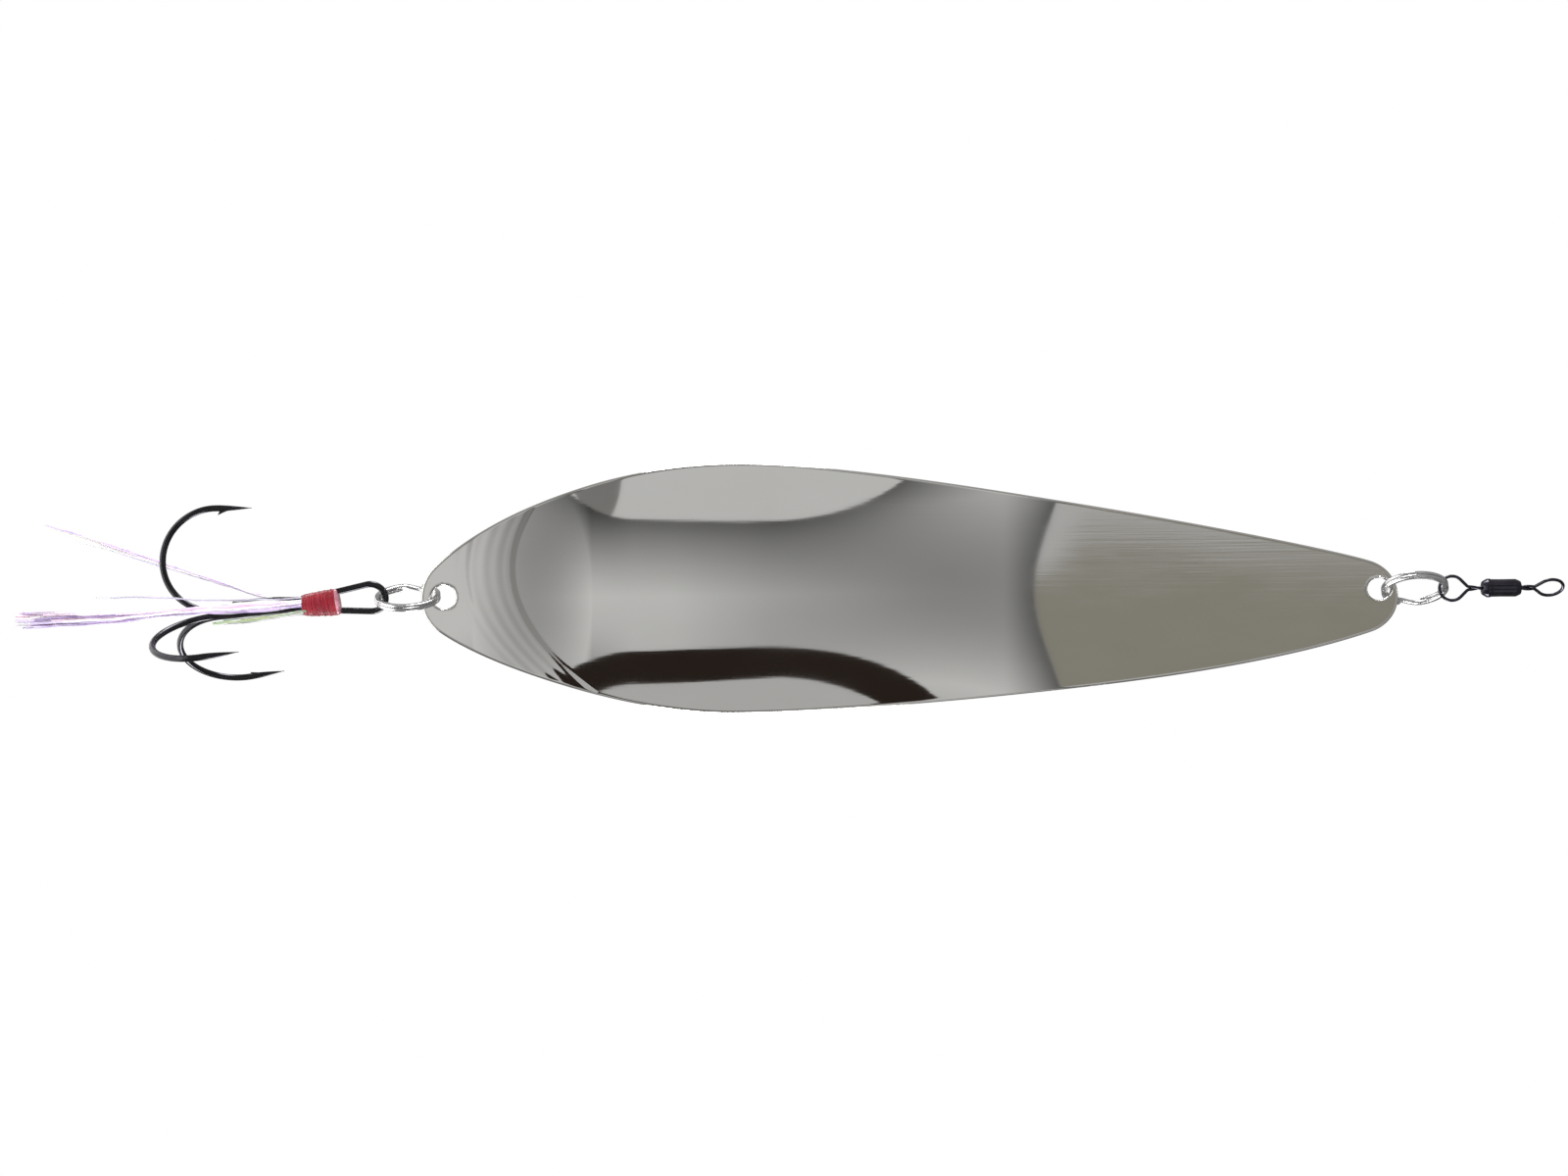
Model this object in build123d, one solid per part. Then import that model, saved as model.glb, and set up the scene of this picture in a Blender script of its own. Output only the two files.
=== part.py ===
from build123d import *
from math import acos, cos, radians, sin
import os

# Spoon lure, hanging from its line eye.  Millimetres.
# Frame: +Z up the lure, origin at the centre of the line eye, hollow side of the blade towards -Y.
# Directions round the Z axis are azimuths in degrees: 0 is -X, 90 is -Y.

# ---- driving dimensions -------------------------------------------------------------------
# barrel swivel
EYE_WIRE = 0.46
EYE_WIDTH = 3.95
EYE_LENGTH = 4.25
FRONT_EYE_TURN = 50
NECK_DIAMETER = 0.84
NECK_LENGTH = 1.9
NECK_CLEARANCE = 0.05
HEAD_DIAMETER = 1.56
HEAD_LENGTH = 0.7
BARREL_DIAMETER = 2.54
BARREL_LENGTH = 5.4
BARREL_BORE = 1.8
BARREL_END_WALL = 0.6
BARREL_END_DIAMETER = 1.9
BARREL_TAPER = 0.7
COLLAR_DIAMETER = 2.7
COLLAR_LENGTH = 0.45

# split rings
RING_DIAMETER = 9.35
RING_WIRE_RADIAL = 0.75
RING_WIRE_AXIAL = 0.48
RING_WIRE_CORNER = 0.12
RING_TURN_GAP = 0.03
RING_JOG_HALF_ANGLE = 20
RING_JOG_SECTIONS = 7
FRONT_RING_TURN = 27
REAR_RING_TURN = -20
LINK_PLAY = 0.22
FRONT_HOLE_PLAY = 0.55
REAR_HOLE_PLAY = 0.5

# blade
BLADE_LENGTH = 140.4
BLADE_THICKNESS = 1.2
FRONT_HOLE_RADIUS = 1.6
REAR_HOLE_RADIUS = 1.75
FRONT_WEB = 0.9
REAR_WEB = 1.4
BLADE_HANG = 5.3
WIDEST_FROM_REAR = 45.5
ARC_DEPTH = 7.0
BOWL_DEPTH = 2.0
NOSE_SLOPE = 0.105
NOSE_BEND = 91.0
NOSE_BLEND = 6.0
CUP_CURVE = 0.0135
FLAT_SHARE = 0.12
# each end of the outline is an arc: radius, offset of its centre from the axis, half angle
REAR_ARC = (6.1, 0.13, 43.0)
FRONT_ARC = (5.4, 1.04, 70.0)
# each side of the outline: half width, then the four handles of its two curves, rear to front
LEFT_SIDE = (19.1, 8.6, 21.7, 26.1, 7.6)
RIGHT_SIDE = (17.4, 5.0, 19.7, 16.2, 25.4)
GRID_MARGIN = 4.0
GRID_STEP = 3.5
GRID_COLUMNS = 9

# treble hook
HOOK_WIRE = 0.92
SHANK_OFFSET = 0.55
HOOK_LENGTH = 32.6
BEND_RADIUS = 7.5
POINT_TURN_IN = 5.5
POINT_LEG = 5.2
POINT_TAPER = 4.8
POINT_TIP_RADIUS = 0.05
BARB_FROM_TIP = 3.4
BARB_LENGTH = 1.5
BARB_RISE = 0.55
BARB_THICKNESS = 0.36
HOOK_EYE_RADIUS = 2.1
LEG_ANGLE = 8.0
LEG_BEND_RADIUS = 20.0
HOOK_AZIMUTHS = (-128, -8, 112)
HOOK_LEAN = 5.5
BRAZE_RADIUS = 0.75
BRAZE_LENGTH = 8.5

# dressing, measured along the shank from the top of the hook eye
WRAP_START = 7.5
WRAP_END = 12.5
WRAP_TOP = (2.12, 1.3)
WRAP_BOTTOM = (1.55, 1.4)
CEMENT_LENGTH = 0.5
CEMENT_SHARE = 0.93
TAIL_END = 54.6

# ---- levels, worked out down the chain ----------------------------------------------------
EYE_CENTRELINE = (EYE_WIDTH - EYE_WIRE) / 2
EYE_DROP = EYE_LENGTH - EYE_WIDTH / 2
BARREL_TOP = -EYE_DROP - NECK_LENGTH
BARREL_BOTTOM = BARREL_TOP - BARREL_LENGTH
REAR_EYE_CENTRE = BARREL_BOTTOM - NECK_LENGTH - EYE_DROP
REAR_EYE_WIRE = REAR_EYE_CENTRE - EYE_CENTRELINE
RING_MEAN = (RING_DIAMETER - RING_WIRE_RADIAL) / 2
RING_INNER = RING_DIAMETER / 2 - RING_WIRE_RADIAL
FRONT_RING_CENTRE = REAR_EYE_WIRE + EYE_WIRE / 2 + LINK_PLAY - RING_INNER
FRONT_HOLE_TOP = FRONT_RING_CENTRE - RING_INNER + FRONT_HOLE_PLAY
FRONT_HOLE = FRONT_HOLE_TOP - FRONT_HOLE_RADIUS
BLADE_FRONT = FRONT_HOLE_TOP + FRONT_WEB
BLADE_REAR = BLADE_FRONT - BLADE_LENGTH
REAR_HOLE = BLADE_REAR + REAR_WEB + REAR_HOLE_RADIUS
FRONT_PIVOT = FRONT_HOLE_TOP + FRONT_WEB / 2
REAR_PIVOT = BLADE_REAR + REAR_WEB / 2
REAR_RING_CENTRE = BLADE_REAR + REAR_WEB + REAR_HOLE_PLAY - RING_INNER
HOOK_PIVOT = REAR_RING_CENTRE - RING_MEAN
HOOK_TOP = REAR_RING_CENTRE - RING_INNER + LINK_PLAY + HOOK_WIRE
HOOK_EYE_CENTRE = HOOK_TOP - HOOK_WIRE / 2 - HOOK_EYE_RADIUS
BEND_START = HOOK_TOP - HOOK_LENGTH + HOOK_WIRE / 2 + BEND_RADIUS
TILT = Axis((0, 0, HOOK_PIVOT), (0, 1, 0))
HANG = Axis((0, 0, FRONT_PIVOT), (1, 0, 0))


def save(name, shape):
    """Write one sub-part to its own file."""
    shape.label = name
    export_step(shape, os.path.join("parts", name + ".step"))


def around(radius, azimuth, height):
    """A point at a radius and azimuth round the Z axis."""
    angle = radians(azimuth)
    return Vector(-radius * cos(angle), -radius * sin(angle), height)


def smooth_step(value, start, end):
    """0 before start, 1 after end, and an even S curve between."""
    share = min(max((value - start) / (end - start), 0.0), 1.0)
    return share * share * (3 - 2 * share)


def tube(edges, radius):
    """A round wire along a chain of tangent edges."""
    path = Wire(edges)
    section = Plane(origin=path @ 0, z_dir=path % 0) * Circle(radius)
    return sweep(section, path=path)


# ---- swivel -------------------------------------------------------------------------------
def eye_wire():
    """A formed eye at Z 0: loop, neck below it, and the head at the foot of the neck."""
    reach = acos(EYE_CENTRELINE / EYE_DROP)
    side_x = EYE_CENTRELINE * sin(reach)
    side_z = -EYE_CENTRELINE * cos(reach)
    foot = Vector(0, 0, -EYE_DROP)
    right, left = Vector(side_x, 0, side_z), Vector(-side_x, 0, side_z)
    loop = tube([ThreePointArc(right, (0, 0, EYE_CENTRELINE), left)], EYE_WIRE / 2)
    legs = [tube([Line(foot, side)], EYE_WIRE / 2) for side in (right, left)]
    neck_length = NECK_LENGTH + BARREL_END_WALL + NECK_CLEARANCE
    neck = extrude(Plane(foot, z_dir=(0, 0, -1)) * Circle(NECK_DIAMETER / 2), neck_length)
    head_top = foot - Vector(0, 0, neck_length)
    head = extrude(Plane(head_top, z_dir=(0, 0, -1)) * Circle(HEAD_DIAMETER / 2), HEAD_LENGTH)
    return loop + legs + neck + head


def swivel_barrel():
    """The crimped barrel, hollow round the two heads, with a collar near its lower end."""
    outer = BARREL_DIAMETER / 2
    end = BARREL_END_DIAMETER / 2
    collar = COLLAR_DIAMETER / 2
    hole = NECK_DIAMETER / 2 + NECK_CLEARANCE
    low, high = BARREL_BOTTOM, BARREL_TOP
    collar_low = low + BARREL_TAPER
    collar_high = collar_low + COLLAR_LENGTH
    profile = [
        (hole, low),
        (end, low),
        (collar, collar_low),
        (collar, collar_high),
        (outer, collar_high + (collar - outer)),
        (outer, high - BARREL_TAPER),
        (end, high),
        (hole, high),
        (hole, high - BARREL_END_WALL),
        (BARREL_BORE / 2, high - BARREL_END_WALL),
        (BARREL_BORE / 2, low + BARREL_END_WALL),
        (hole, low + BARREL_END_WALL),
    ]
    face = Plane.XZ * make_face(Polyline(profile, close=True))
    return revolve(face, Axis.Z)


# ---- split rings --------------------------------------------------------------------------
def ring_section(angle, level):
    """The wire's section on the ring, at an angle round it and a level along its axis."""
    turn = radians(angle)
    outward = Vector(cos(turn), sin(turn), 0)
    place = Plane(
        origin=outward * RING_MEAN + Vector(0, 0, level),
        x_dir=outward,
        z_dir=(-sin(turn), cos(turn), 0),
    )
    return place * RectangleRounded(RING_WIRE_RADIAL, RING_WIRE_AXIAL, RING_WIRE_CORNER)


def split_ring():
    """Two flat turns joined by a jog, lying in the XY plane with the jog on +X."""
    half_step = (RING_WIRE_AXIAL + RING_TURN_GAP) / 2
    jog = RING_JOG_HALF_ANGLE
    lower = revolve(ring_section(jog, -half_step), Axis.Z, revolution_arc=360 - 2 * jog)
    upper = revolve(ring_section(jog, half_step), Axis.Z, revolution_arc=360 - 2 * jog)
    sections = []
    for index in range(RING_JOG_SECTIONS):
        share = index / (RING_JOG_SECTIONS - 1)
        level = half_step * (2 * smooth_step(share, 0, 1) - 1)
        sections.append(ring_section(jog * (2 * share - 1), level))
    return lower + loft(sections) + upper


def hung_ring(centre, turn):
    """A split ring standing in the chain: its plane holds Z and is turned a little from YZ."""
    angle = radians(turn)
    place = Plane(
        origin=(0, 0, centre),
        x_dir=(sin(angle), cos(angle), 0),
        z_dir=(-cos(angle), sin(angle), 0),
    )
    return place * split_ring()


# ---- blade --------------------------------------------------------------------------------
def long_curve(z):
    """The long arc of the blade, with its nose bent forward past the nose bend."""
    middle = (FRONT_PIVOT + REAR_PIVOT) / 2
    half_span = (FRONT_PIVOT - REAR_PIVOT) / 2
    past_bend = z - BLADE_REAR - NOSE_BEND
    if past_bend < NOSE_BLEND:
        past_bend = max(past_bend + NOSE_BLEND, 0.0) ** 2 / (4 * NOSE_BLEND)
    return ARC_DEPTH * (1 - ((z - middle) / half_span) ** 2) - NOSE_SLOPE * past_bend


def blade_depth(x, z):
    """Y of the middle of the sheet, 0 at both webs: long curve, bowl behind the tab, and cup."""
    share = (z - REAR_PIVOT) / (FRONT_PIVOT - REAR_PIVOT)
    chord = (1 - share) * long_curve(REAR_PIVOT) + share * long_curve(FRONT_PIVOT)
    from_rear = z - BLADE_REAR
    bowl = smooth_step(from_rear, 7, 24) - smooth_step(from_rear, 36, 110)
    cup = smooth_step(from_rear, 2, 30) - smooth_step(from_rear, 50, 98)
    curve = CUP_CURVE * (FLAT_SHARE + (1 - FLAT_SHARE) * cup)
    return long_curve(z) - chord + BOWL_DEPTH * bowl - curve * x * x


def blade_surface():
    """The hollow face of the blade as one smooth surface, wider than the outline."""
    half_width = max(LEFT_SIDE[0], RIGHT_SIDE[0]) + GRID_MARGIN
    rows = int((BLADE_LENGTH + 2 * GRID_MARGIN) / GRID_STEP) + 1
    grid = []
    for row in range(rows):
        z = BLADE_REAR - GRID_MARGIN + (BLADE_LENGTH + 2 * GRID_MARGIN) * row / (rows - 1)
        line = []
        for column in range(GRID_COLUMNS):
            x = half_width * (2 * column / (GRID_COLUMNS - 1) - 1)
            line.append(Vector(x, blade_depth(x, z) - BLADE_THICKNESS / 2, z))
        grid.append(line)
    return Face.make_surface_from_array_of_points(grid, tol=0.002)


def side_curves(sign, side):
    """The two curves of one long edge, from the rear arc to the widest point to the front arc."""
    half_width, rear_out, rear_in, front_in, front_out = side
    ends = []
    for (radius, offset, half_angle), tip, way in ((REAR_ARC, BLADE_REAR, 1), (FRONT_ARC, BLADE_FRONT, -1)):
        angle = radians(half_angle)
        point = Vector(offset + sign * radius * sin(angle), tip + way * radius * (1 - cos(angle)))
        heading = Vector(sign * cos(angle), way * sin(angle))
        ends.append((point, heading))
    (rear, rear_heading), (front, front_heading) = ends
    widest = Vector(sign * half_width, BLADE_REAR + WIDEST_FROM_REAR)
    along = Vector(0, 1)
    return [
        Bezier(rear, rear + rear_heading * rear_out, widest - along * rear_in, widest),
        Bezier(widest, widest + along * front_in, front + front_heading * front_out, front),
    ]


def blade_outline():
    """The blade's outline seen along Y, drawn in X and Z."""
    left = side_curves(-1, LEFT_SIDE)
    right = side_curves(1, RIGHT_SIDE)
    rear_tip = Vector(REAR_ARC[1], BLADE_REAR)
    front_tip = Vector(FRONT_ARC[1], BLADE_FRONT)
    rear = ThreePointArc(left[0] @ 0, rear_tip, right[0] @ 0)
    front = ThreePointArc(left[1] @ 1, front_tip, right[1] @ 1)
    return make_face(Wire([rear, *right, front, *left]))


def blade():
    """The stamped spoon: a curved sheet, cut to its outline, with a hole at each end."""
    deep = ARC_DEPTH + BOWL_DEPTH + GRID_MARGIN
    sheet = Solid.extrude(blade_surface(), Vector(0, BLADE_THICKNESS, 0))
    blank = extrude(Plane.XZ * blade_outline(), 2 * deep, both=True)
    shape = sheet & blank
    for centre, radius in ((FRONT_HOLE, FRONT_HOLE_RADIUS), (REAR_HOLE, REAR_HOLE_RADIUS)):
        shape -= extrude(Plane.XZ * Pos(0, centre) * Circle(radius), deep, both=True)
    return shape


# ---- treble hook --------------------------------------------------------------------------
def bend_point(azimuth, angle):
    """A point on a hook's bend: angle 0 is on the shank, 180 on the side of the point."""
    turn = radians(angle)
    radius = SHANK_OFFSET + BEND_RADIUS * (1 - cos(turn))
    return around(radius, azimuth, BEND_START - BEND_RADIUS * sin(turn))


def hook_bend(azimuth):
    """The bend of one hook and the short straight before its point, as edges."""
    end_angle = 180 + POINT_TURN_IN
    end = bend_point(azimuth, end_angle)
    straight = end + point_heading(azimuth) * (POINT_LEG - POINT_TAPER)
    arc = ThreePointArc(end, bend_point(azimuth, end_angle / 2), bend_point(azimuth, 0))
    return [Line(straight, end), arc]


def point_heading(azimuth):
    """The way a hook's point looks: up and a little in towards the shank."""
    turn = radians(POINT_TURN_IN)
    return around(-sin(turn), azimuth, cos(turn))


def hook_point(azimuth):
    """The tapered point with its barb on the inner side."""
    heading = point_heading(azimuth)
    inward = around(-cos(radians(POINT_TURN_IN)), azimuth, -sin(radians(POINT_TURN_IN)))
    base = bend_point(azimuth, 180 + POINT_TURN_IN) + heading * (POINT_LEG - POINT_TAPER)
    tip = base + heading * POINT_TAPER
    spike = loft([
        Plane(base, z_dir=heading) * Circle(HOOK_WIRE / 2),
        Plane(tip, z_dir=heading) * Circle(POINT_TIP_RADIUS),
    ])
    front = tip - heading * BARB_FROM_TIP
    back = front - heading * BARB_LENGTH
    surface = HOOK_WIRE / 2
    plane = Plane(front, x_dir=heading, z_dir=heading.cross(inward))
    outline = Polyline(
        (0, 0),
        (0, surface * BARB_FROM_TIP / POINT_TAPER),
        (-BARB_LENGTH, surface + BARB_RISE),
        (-BARB_LENGTH * 0.7, 0),
        close=True,
    )
    assert back.Z < front.Z
    barb = extrude(plane * make_face(outline), BARB_THICKNESS / 2, both=True)
    return spike + barb


def leg_point(side, spread, height, middle_azimuth):
    """A point in the plane of the hook's eye, spread to one side of its middle."""
    offset = around(SHANK_OFFSET / 2, middle_azimuth, 0)
    return around(side * spread, middle_azimuth - 90, height) + offset


def eye_leg(side, middle_azimuth):
    """One leg below the eye, from the shank up to the eye's round, as edges."""
    angle = radians(LEG_ANGLE)
    shank_spread = SHANK_OFFSET * cos(radians(30))
    top_spread = HOOK_EYE_RADIUS * cos(angle)
    top = HOOK_EYE_CENTRE - HOOK_EYE_RADIUS * sin(angle)
    knee = top - (top_spread - shank_spread) * cos(angle) / sin(angle)
    tangent = LEG_BEND_RADIUS * (1 - cos(angle)) / sin(angle)
    points = []
    for turn in (0, angle / 2, angle):
        spread = shank_spread + LEG_BEND_RADIUS * (1 - cos(turn))
        height = knee - tangent + LEG_BEND_RADIUS * sin(turn)
        points.append(leg_point(side, spread, height, middle_azimuth))
    rise = Line(points[2], leg_point(side, top_spread, top, middle_azimuth))
    return [ThreePointArc(*points), rise]


def hook_double_wire():
    """One wire with a hook at each end and the eye in its middle."""
    first, second = HOOK_AZIMUTHS[0], HOOK_AZIMUTHS[1]
    middle = (first + second) / 2
    up_leg, down_leg = eye_leg(1, middle), eye_leg(-1, middle)
    crown = leg_point(0, 0, HOOK_EYE_CENTRE + HOOK_EYE_RADIUS, middle)
    path = hook_bend(first)
    path += [Line(bend_point(first, 0), up_leg[0] @ 0), *up_leg]
    path += [ThreePointArc(up_leg[1] @ 1, crown, down_leg[1] @ 1), *down_leg]
    path += [Line(bend_point(second, 0), down_leg[0] @ 0), *hook_bend(second)]
    return tube(path, HOOK_WIRE / 2) + hook_point(first) + hook_point(second)


def hook_single_wire():
    """The third hook: a straight shank that stops inside the binding."""
    azimuth = HOOK_AZIMUTHS[2]
    shank_top = around(SHANK_OFFSET, azimuth, HOOK_TOP - (WRAP_START + WRAP_END) / 2)
    path = hook_bend(azimuth) + [Line(bend_point(azimuth, 0), shank_top)]
    return tube(path, HOOK_WIRE / 2) + hook_point(azimuth)


def hook_braze(wires):
    """Braze metal between the three shanks, below the binding."""
    top = HOOK_TOP - WRAP_END
    rod = extrude(Plane((0, 0, top), z_dir=(0, 0, -1)) * Circle(BRAZE_RADIUS), BRAZE_LENGTH)
    return rod - wires


# ---- dressing -----------------------------------------------------------------------------
def level_plane(height, up=0.0, across=0.0, azimuth=0.0):
    """A plane across the shank; up is towards the azimuth, across a quarter turn further on."""
    centre = around(up, azimuth, height) + around(across, azimuth + 90, 0)
    return Plane(centre, x_dir=around(1, azimuth, 0), z_dir=(0, 0, -1))


def oval(height, half_up, half_across, azimuth=0.0):
    """An oval across the shank, centred on it."""
    return level_plane(height, azimuth=azimuth) * Ellipse(half_up, half_across)


def thread_wrap(wires):
    """The binding: wide over the two legs, narrower over the shanks."""
    middle = sum(HOOK_AZIMUTHS[:2]) / 2 - 90
    top, bottom = HOOK_TOP - WRAP_START, HOOK_TOP - WRAP_END
    shape = loft([oval(top, *WRAP_TOP, azimuth=middle), oval(bottom, *WRAP_BOTTOM, azimuth=middle)])
    return shape - wires


def thread_cement(wires):
    """The clear bead that locks the binding at the eye end."""
    middle = sum(HOOK_AZIMUTHS[:2]) / 2 - 90
    half_up, half_across = (CEMENT_SHARE * half for half in WRAP_TOP)
    base = oval(HOOK_TOP - WRAP_START, half_up, half_across, azimuth=middle)
    return extrude(base, -CEMENT_LENGTH) - wires


def hank(stations):
    """A hank of strands through ovals: distance from the eye's top, up, near, half up, half near."""
    sections = []
    for distance, up, near, half_up, half_near in stations:
        sections.append(level_plane(HOOK_TOP - distance, up, near) * Ellipse(half_up, half_near))
    return loft(sections)


def flat_strand(stations):
    """One flat strand through points at (distance from the eye's top, up, near camera)."""
    sections = []
    for distance, up, near in stations:
        sections.append(level_plane(HOOK_TOP - distance, up, near) * Rectangle(*STRAND_SIZE))
    return loft(sections)


HANKS = {
    "tinsel_tail": [
        (WRAP_END, 0.30, 1.05, 0.60, 0.25),
        (16.0, 0.30, 1.60, 0.75, 0.45),
        (22.0, 0.50, 1.65, 0.75, 0.45),
        (27.0, 0.85, 1.50, 0.60, 0.40),
        (32.5, 0.95, 0.90, 0.55, 0.40),
        (39.0, 1.05, 0.50, 0.80, 0.60),
        (46.0, 1.60, 0.20, 1.10, 0.90),
        (TAIL_END, 2.30, 0.00, 1.40, 1.20),
    ],
    "tinsel_wisp": [
        (WRAP_END, 0.70, -0.88, 0.22, 0.18),
        (17.0, 1.50, -1.60, 0.30, 0.25),
        (24.0, 4.20, -2.90, 0.40, 0.30),
        (32.0, 7.60, -4.00, 0.60, 0.35),
        (41.5, 11.60, -5.00, 0.90, 0.45),
        (50.2, 15.00, -5.50, 1.30, 0.50),
    ],
    "tinsel_flash_green": [
        (WRAP_END, -0.85, 1.00, 0.22, 0.18),
        (17.5, -1.10, 1.35, 0.35, 0.25),
        (25.5, -1.20, 1.45, 0.30, 0.20),
    ],
    "tinsel_flash_white": [
        (WRAP_END, -1.30, -0.10, 0.18, 0.25),
        (17.5, -1.55, 0.05, 0.25, 0.40),
        (24.0, -1.65, 0.10, 0.20, 0.35),
    ],
    "tinsel_flash_black": [
        (WRAP_END, 1.20, -0.35, 0.10, 0.15),
        (17.5, 1.50, -0.45, 0.20, 0.22),
        (23.0, 1.60, -0.50, 0.20, 0.22),
    ],
}
STRAND_SIZE = (0.30, 0.20)
STRAND = [
    (WRAP_END, 1.10, 0.70),
    (20.0, 1.60, 1.00),
    (26.0, 2.20, 1.50),
    (32.0, 3.20, 1.70),
    (41.5, 4.20, 1.80),
]


def hang(shape):
    """Swing the blade, or what hangs from it in line with it, so its weight is under the ring."""
    return shape.rotate(HANG, -BLADE_HANG)


def main():
    os.makedirs("parts", exist_ok=True)
    save("swivel_front_eye", Rot(0, 0, FRONT_EYE_TURN) * eye_wire())
    save("swivel_barrel", swivel_barrel())
    save("swivel_rear_eye", Pos(0, 0, REAR_EYE_CENTRE) * Rot(0, 180, 0) * eye_wire())
    save("front_split_ring", hung_ring(FRONT_RING_CENTRE, FRONT_RING_TURN))
    save("blade", hang(blade()))
    save("rear_split_ring", hang(hung_ring(REAR_RING_CENTRE, REAR_RING_TURN)))

    double_wire = hook_double_wire()
    single_wire = hook_single_wire()
    wires = double_wire + single_wire
    treble = {
        "hook_double_wire": double_wire,
        "hook_single_wire": single_wire,
        "hook_braze": hook_braze(wires),
        "thread_wrap": thread_wrap(wires),
        "thread_cement": thread_cement(wires),
        "tinsel_strand": flat_strand(STRAND),
    }
    for name, stations in HANKS.items():
        treble[name] = hank(stations)
    for name, shape in treble.items():
        save(name, hang(shape.rotate(TILT, -HOOK_LEAN)))


main()
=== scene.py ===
"""Looks of the spoon lure.

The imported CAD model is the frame. Pieces that need finer surfaces are built here from the same
dimensions and ride on its bodies. Lengths are millimetres until upright(), hung() or leaned()
turns them into the row frame's metres. Directions round the lure are azimuths in degrees: 0 is -X, 90 is -Y.
"""

import math

import bpy
import numpy as np
from mathutils import Matrix, Vector


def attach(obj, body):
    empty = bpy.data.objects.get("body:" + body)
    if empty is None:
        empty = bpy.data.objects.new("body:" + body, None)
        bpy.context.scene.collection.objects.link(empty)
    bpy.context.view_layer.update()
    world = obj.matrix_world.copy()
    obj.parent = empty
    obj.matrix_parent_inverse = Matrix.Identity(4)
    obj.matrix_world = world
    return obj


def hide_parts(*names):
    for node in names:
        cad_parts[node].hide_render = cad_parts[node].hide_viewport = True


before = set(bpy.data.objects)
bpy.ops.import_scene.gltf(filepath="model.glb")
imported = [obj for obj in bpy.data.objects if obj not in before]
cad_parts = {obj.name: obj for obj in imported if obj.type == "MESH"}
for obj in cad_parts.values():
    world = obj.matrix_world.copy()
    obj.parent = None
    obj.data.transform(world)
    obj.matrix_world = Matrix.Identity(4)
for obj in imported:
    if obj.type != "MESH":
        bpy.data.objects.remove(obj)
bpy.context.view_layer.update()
RANDOM = np.random.default_rng(11)

MM = 0.001

# ---- dimensions shared with the CAD model --------------------------------------------------
EYE_WIRE = 0.46
EYE_CENTRELINE = 1.745
EYE_DROP = 2.275
NECK_LENGTH = 1.9
NECK_IN_BARREL = 0.65
HEAD_DIAMETER = 1.56
HEAD_LENGTH = 0.7
FRONT_EYE_TURN = 50
BARREL_TOP = -4.175
BARREL_BOTTOM = -9.575
REAR_EYE_CENTRE = -13.75

RING_MEAN = 4.3
RING_WIRE_RADIAL = 0.75
RING_WIRE_AXIAL = 0.48
RING_HALF_STEP = 0.255
RING_JOG_HALF_ANGLE = 20
FRONT_RING_CENTRE = -18.97
FRONT_RING_TURN = 27
REAR_RING_CENTRE = -163.87
REAR_RING_TURN = -20

BLADE_FRONT = -21.445
BLADE_REAR = -161.845
BLADE_THICKNESS = 1.2
FRONT_HOLE = (-23.945, 1.6)
REAR_HOLE = (-158.695, 1.75)
FRONT_PIVOT = -21.895
REAR_PIVOT = -161.145
WIDEST_FROM_REAR = 45.5
ARC_DEPTH = 7.0
BOWL_DEPTH = 2.0
NOSE_SLOPE = 0.105
NOSE_BEND = 91.0
NOSE_BLEND = 6.0
CUP_CURVE = 0.0135
FLAT_SHARE = 0.12
REAR_ARC = (6.1, 0.13, 43.0)
FRONT_ARC = (5.4, 1.04, 70.0)
LEFT_SIDE = (19.1, 8.6, 21.7, 26.1, 7.6)
RIGHT_SIDE = (17.4, 5.0, 19.7, 16.2, 25.4)
HANG = math.radians(5.3)

HOOK_WIRE = 0.92
SHANK_OFFSET = 0.55
BEND_RADIUS = 7.5
BEND_START = -191.295
POINT_TURN_IN = math.radians(5.5)
POINT_LEG = 5.2
POINT_TAPER = 4.8
POINT_TIP_RADIUS = 0.05
BARB_FROM_TIP = 3.4
BARB_LENGTH = 1.5
BARB_RISE = 0.55
BARB_THICKNESS = 0.36
HOOK_PIVOT = -168.17
HOOK_TOP = -166.655
HOOK_EYE_CENTRE = -169.215
HOOK_EYE_RADIUS = 2.1
LEG_ANGLE = math.radians(8.0)
LEG_BEND_RADIUS = 20.0
HOOK_AZIMUTHS = (-128, -8, 112)
HOOK_LEAN = math.radians(-5.5)
WRAP_AZIMUTH = 22
WRAP_START = 7.5
WRAP_END = 12.5
WRAP_TOP = (2.12, 1.3)
WRAP_BOTTOM = (1.55, 1.4)
CEMENT_LENGTH = 0.5
CEMENT_SHARE = 0.93


# ---- placing -------------------------------------------------------------------------------
def upright(points):
    """Millimetres to metres, for the swivel and the front ring, which hang straight."""
    return np.asarray(points, float) * MM


def hung(points):
    """Swings points built in line with the frame by the blade's hang, then to metres."""
    points = np.asarray(points, float)
    rise = points[:, 2] - FRONT_PIVOT
    y = points[:, 1] * math.cos(HANG) + rise * math.sin(HANG)
    z = FRONT_PIVOT - points[:, 1] * math.sin(HANG) + rise * math.cos(HANG)
    return np.column_stack((points[:, 0], y, z)) * MM


def leaned(points):
    """The treble's own lean about the ring, then the blade's hang."""
    points = np.asarray(points, float)
    rise = points[:, 2] - HOOK_PIVOT
    x = points[:, 0] * math.cos(HOOK_LEAN) + rise * math.sin(HOOK_LEAN)
    z = HOOK_PIVOT - points[:, 0] * math.sin(HOOK_LEAN) + rise * math.cos(HOOK_LEAN)
    return hung(np.column_stack((x, points[:, 1], z)))


def around(radius, azimuth, height):
    """A point at a radius and azimuth round the Z axis."""
    angle = math.radians(azimuth)
    return np.array((-radius * math.cos(angle), -radius * math.sin(angle), height))


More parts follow.
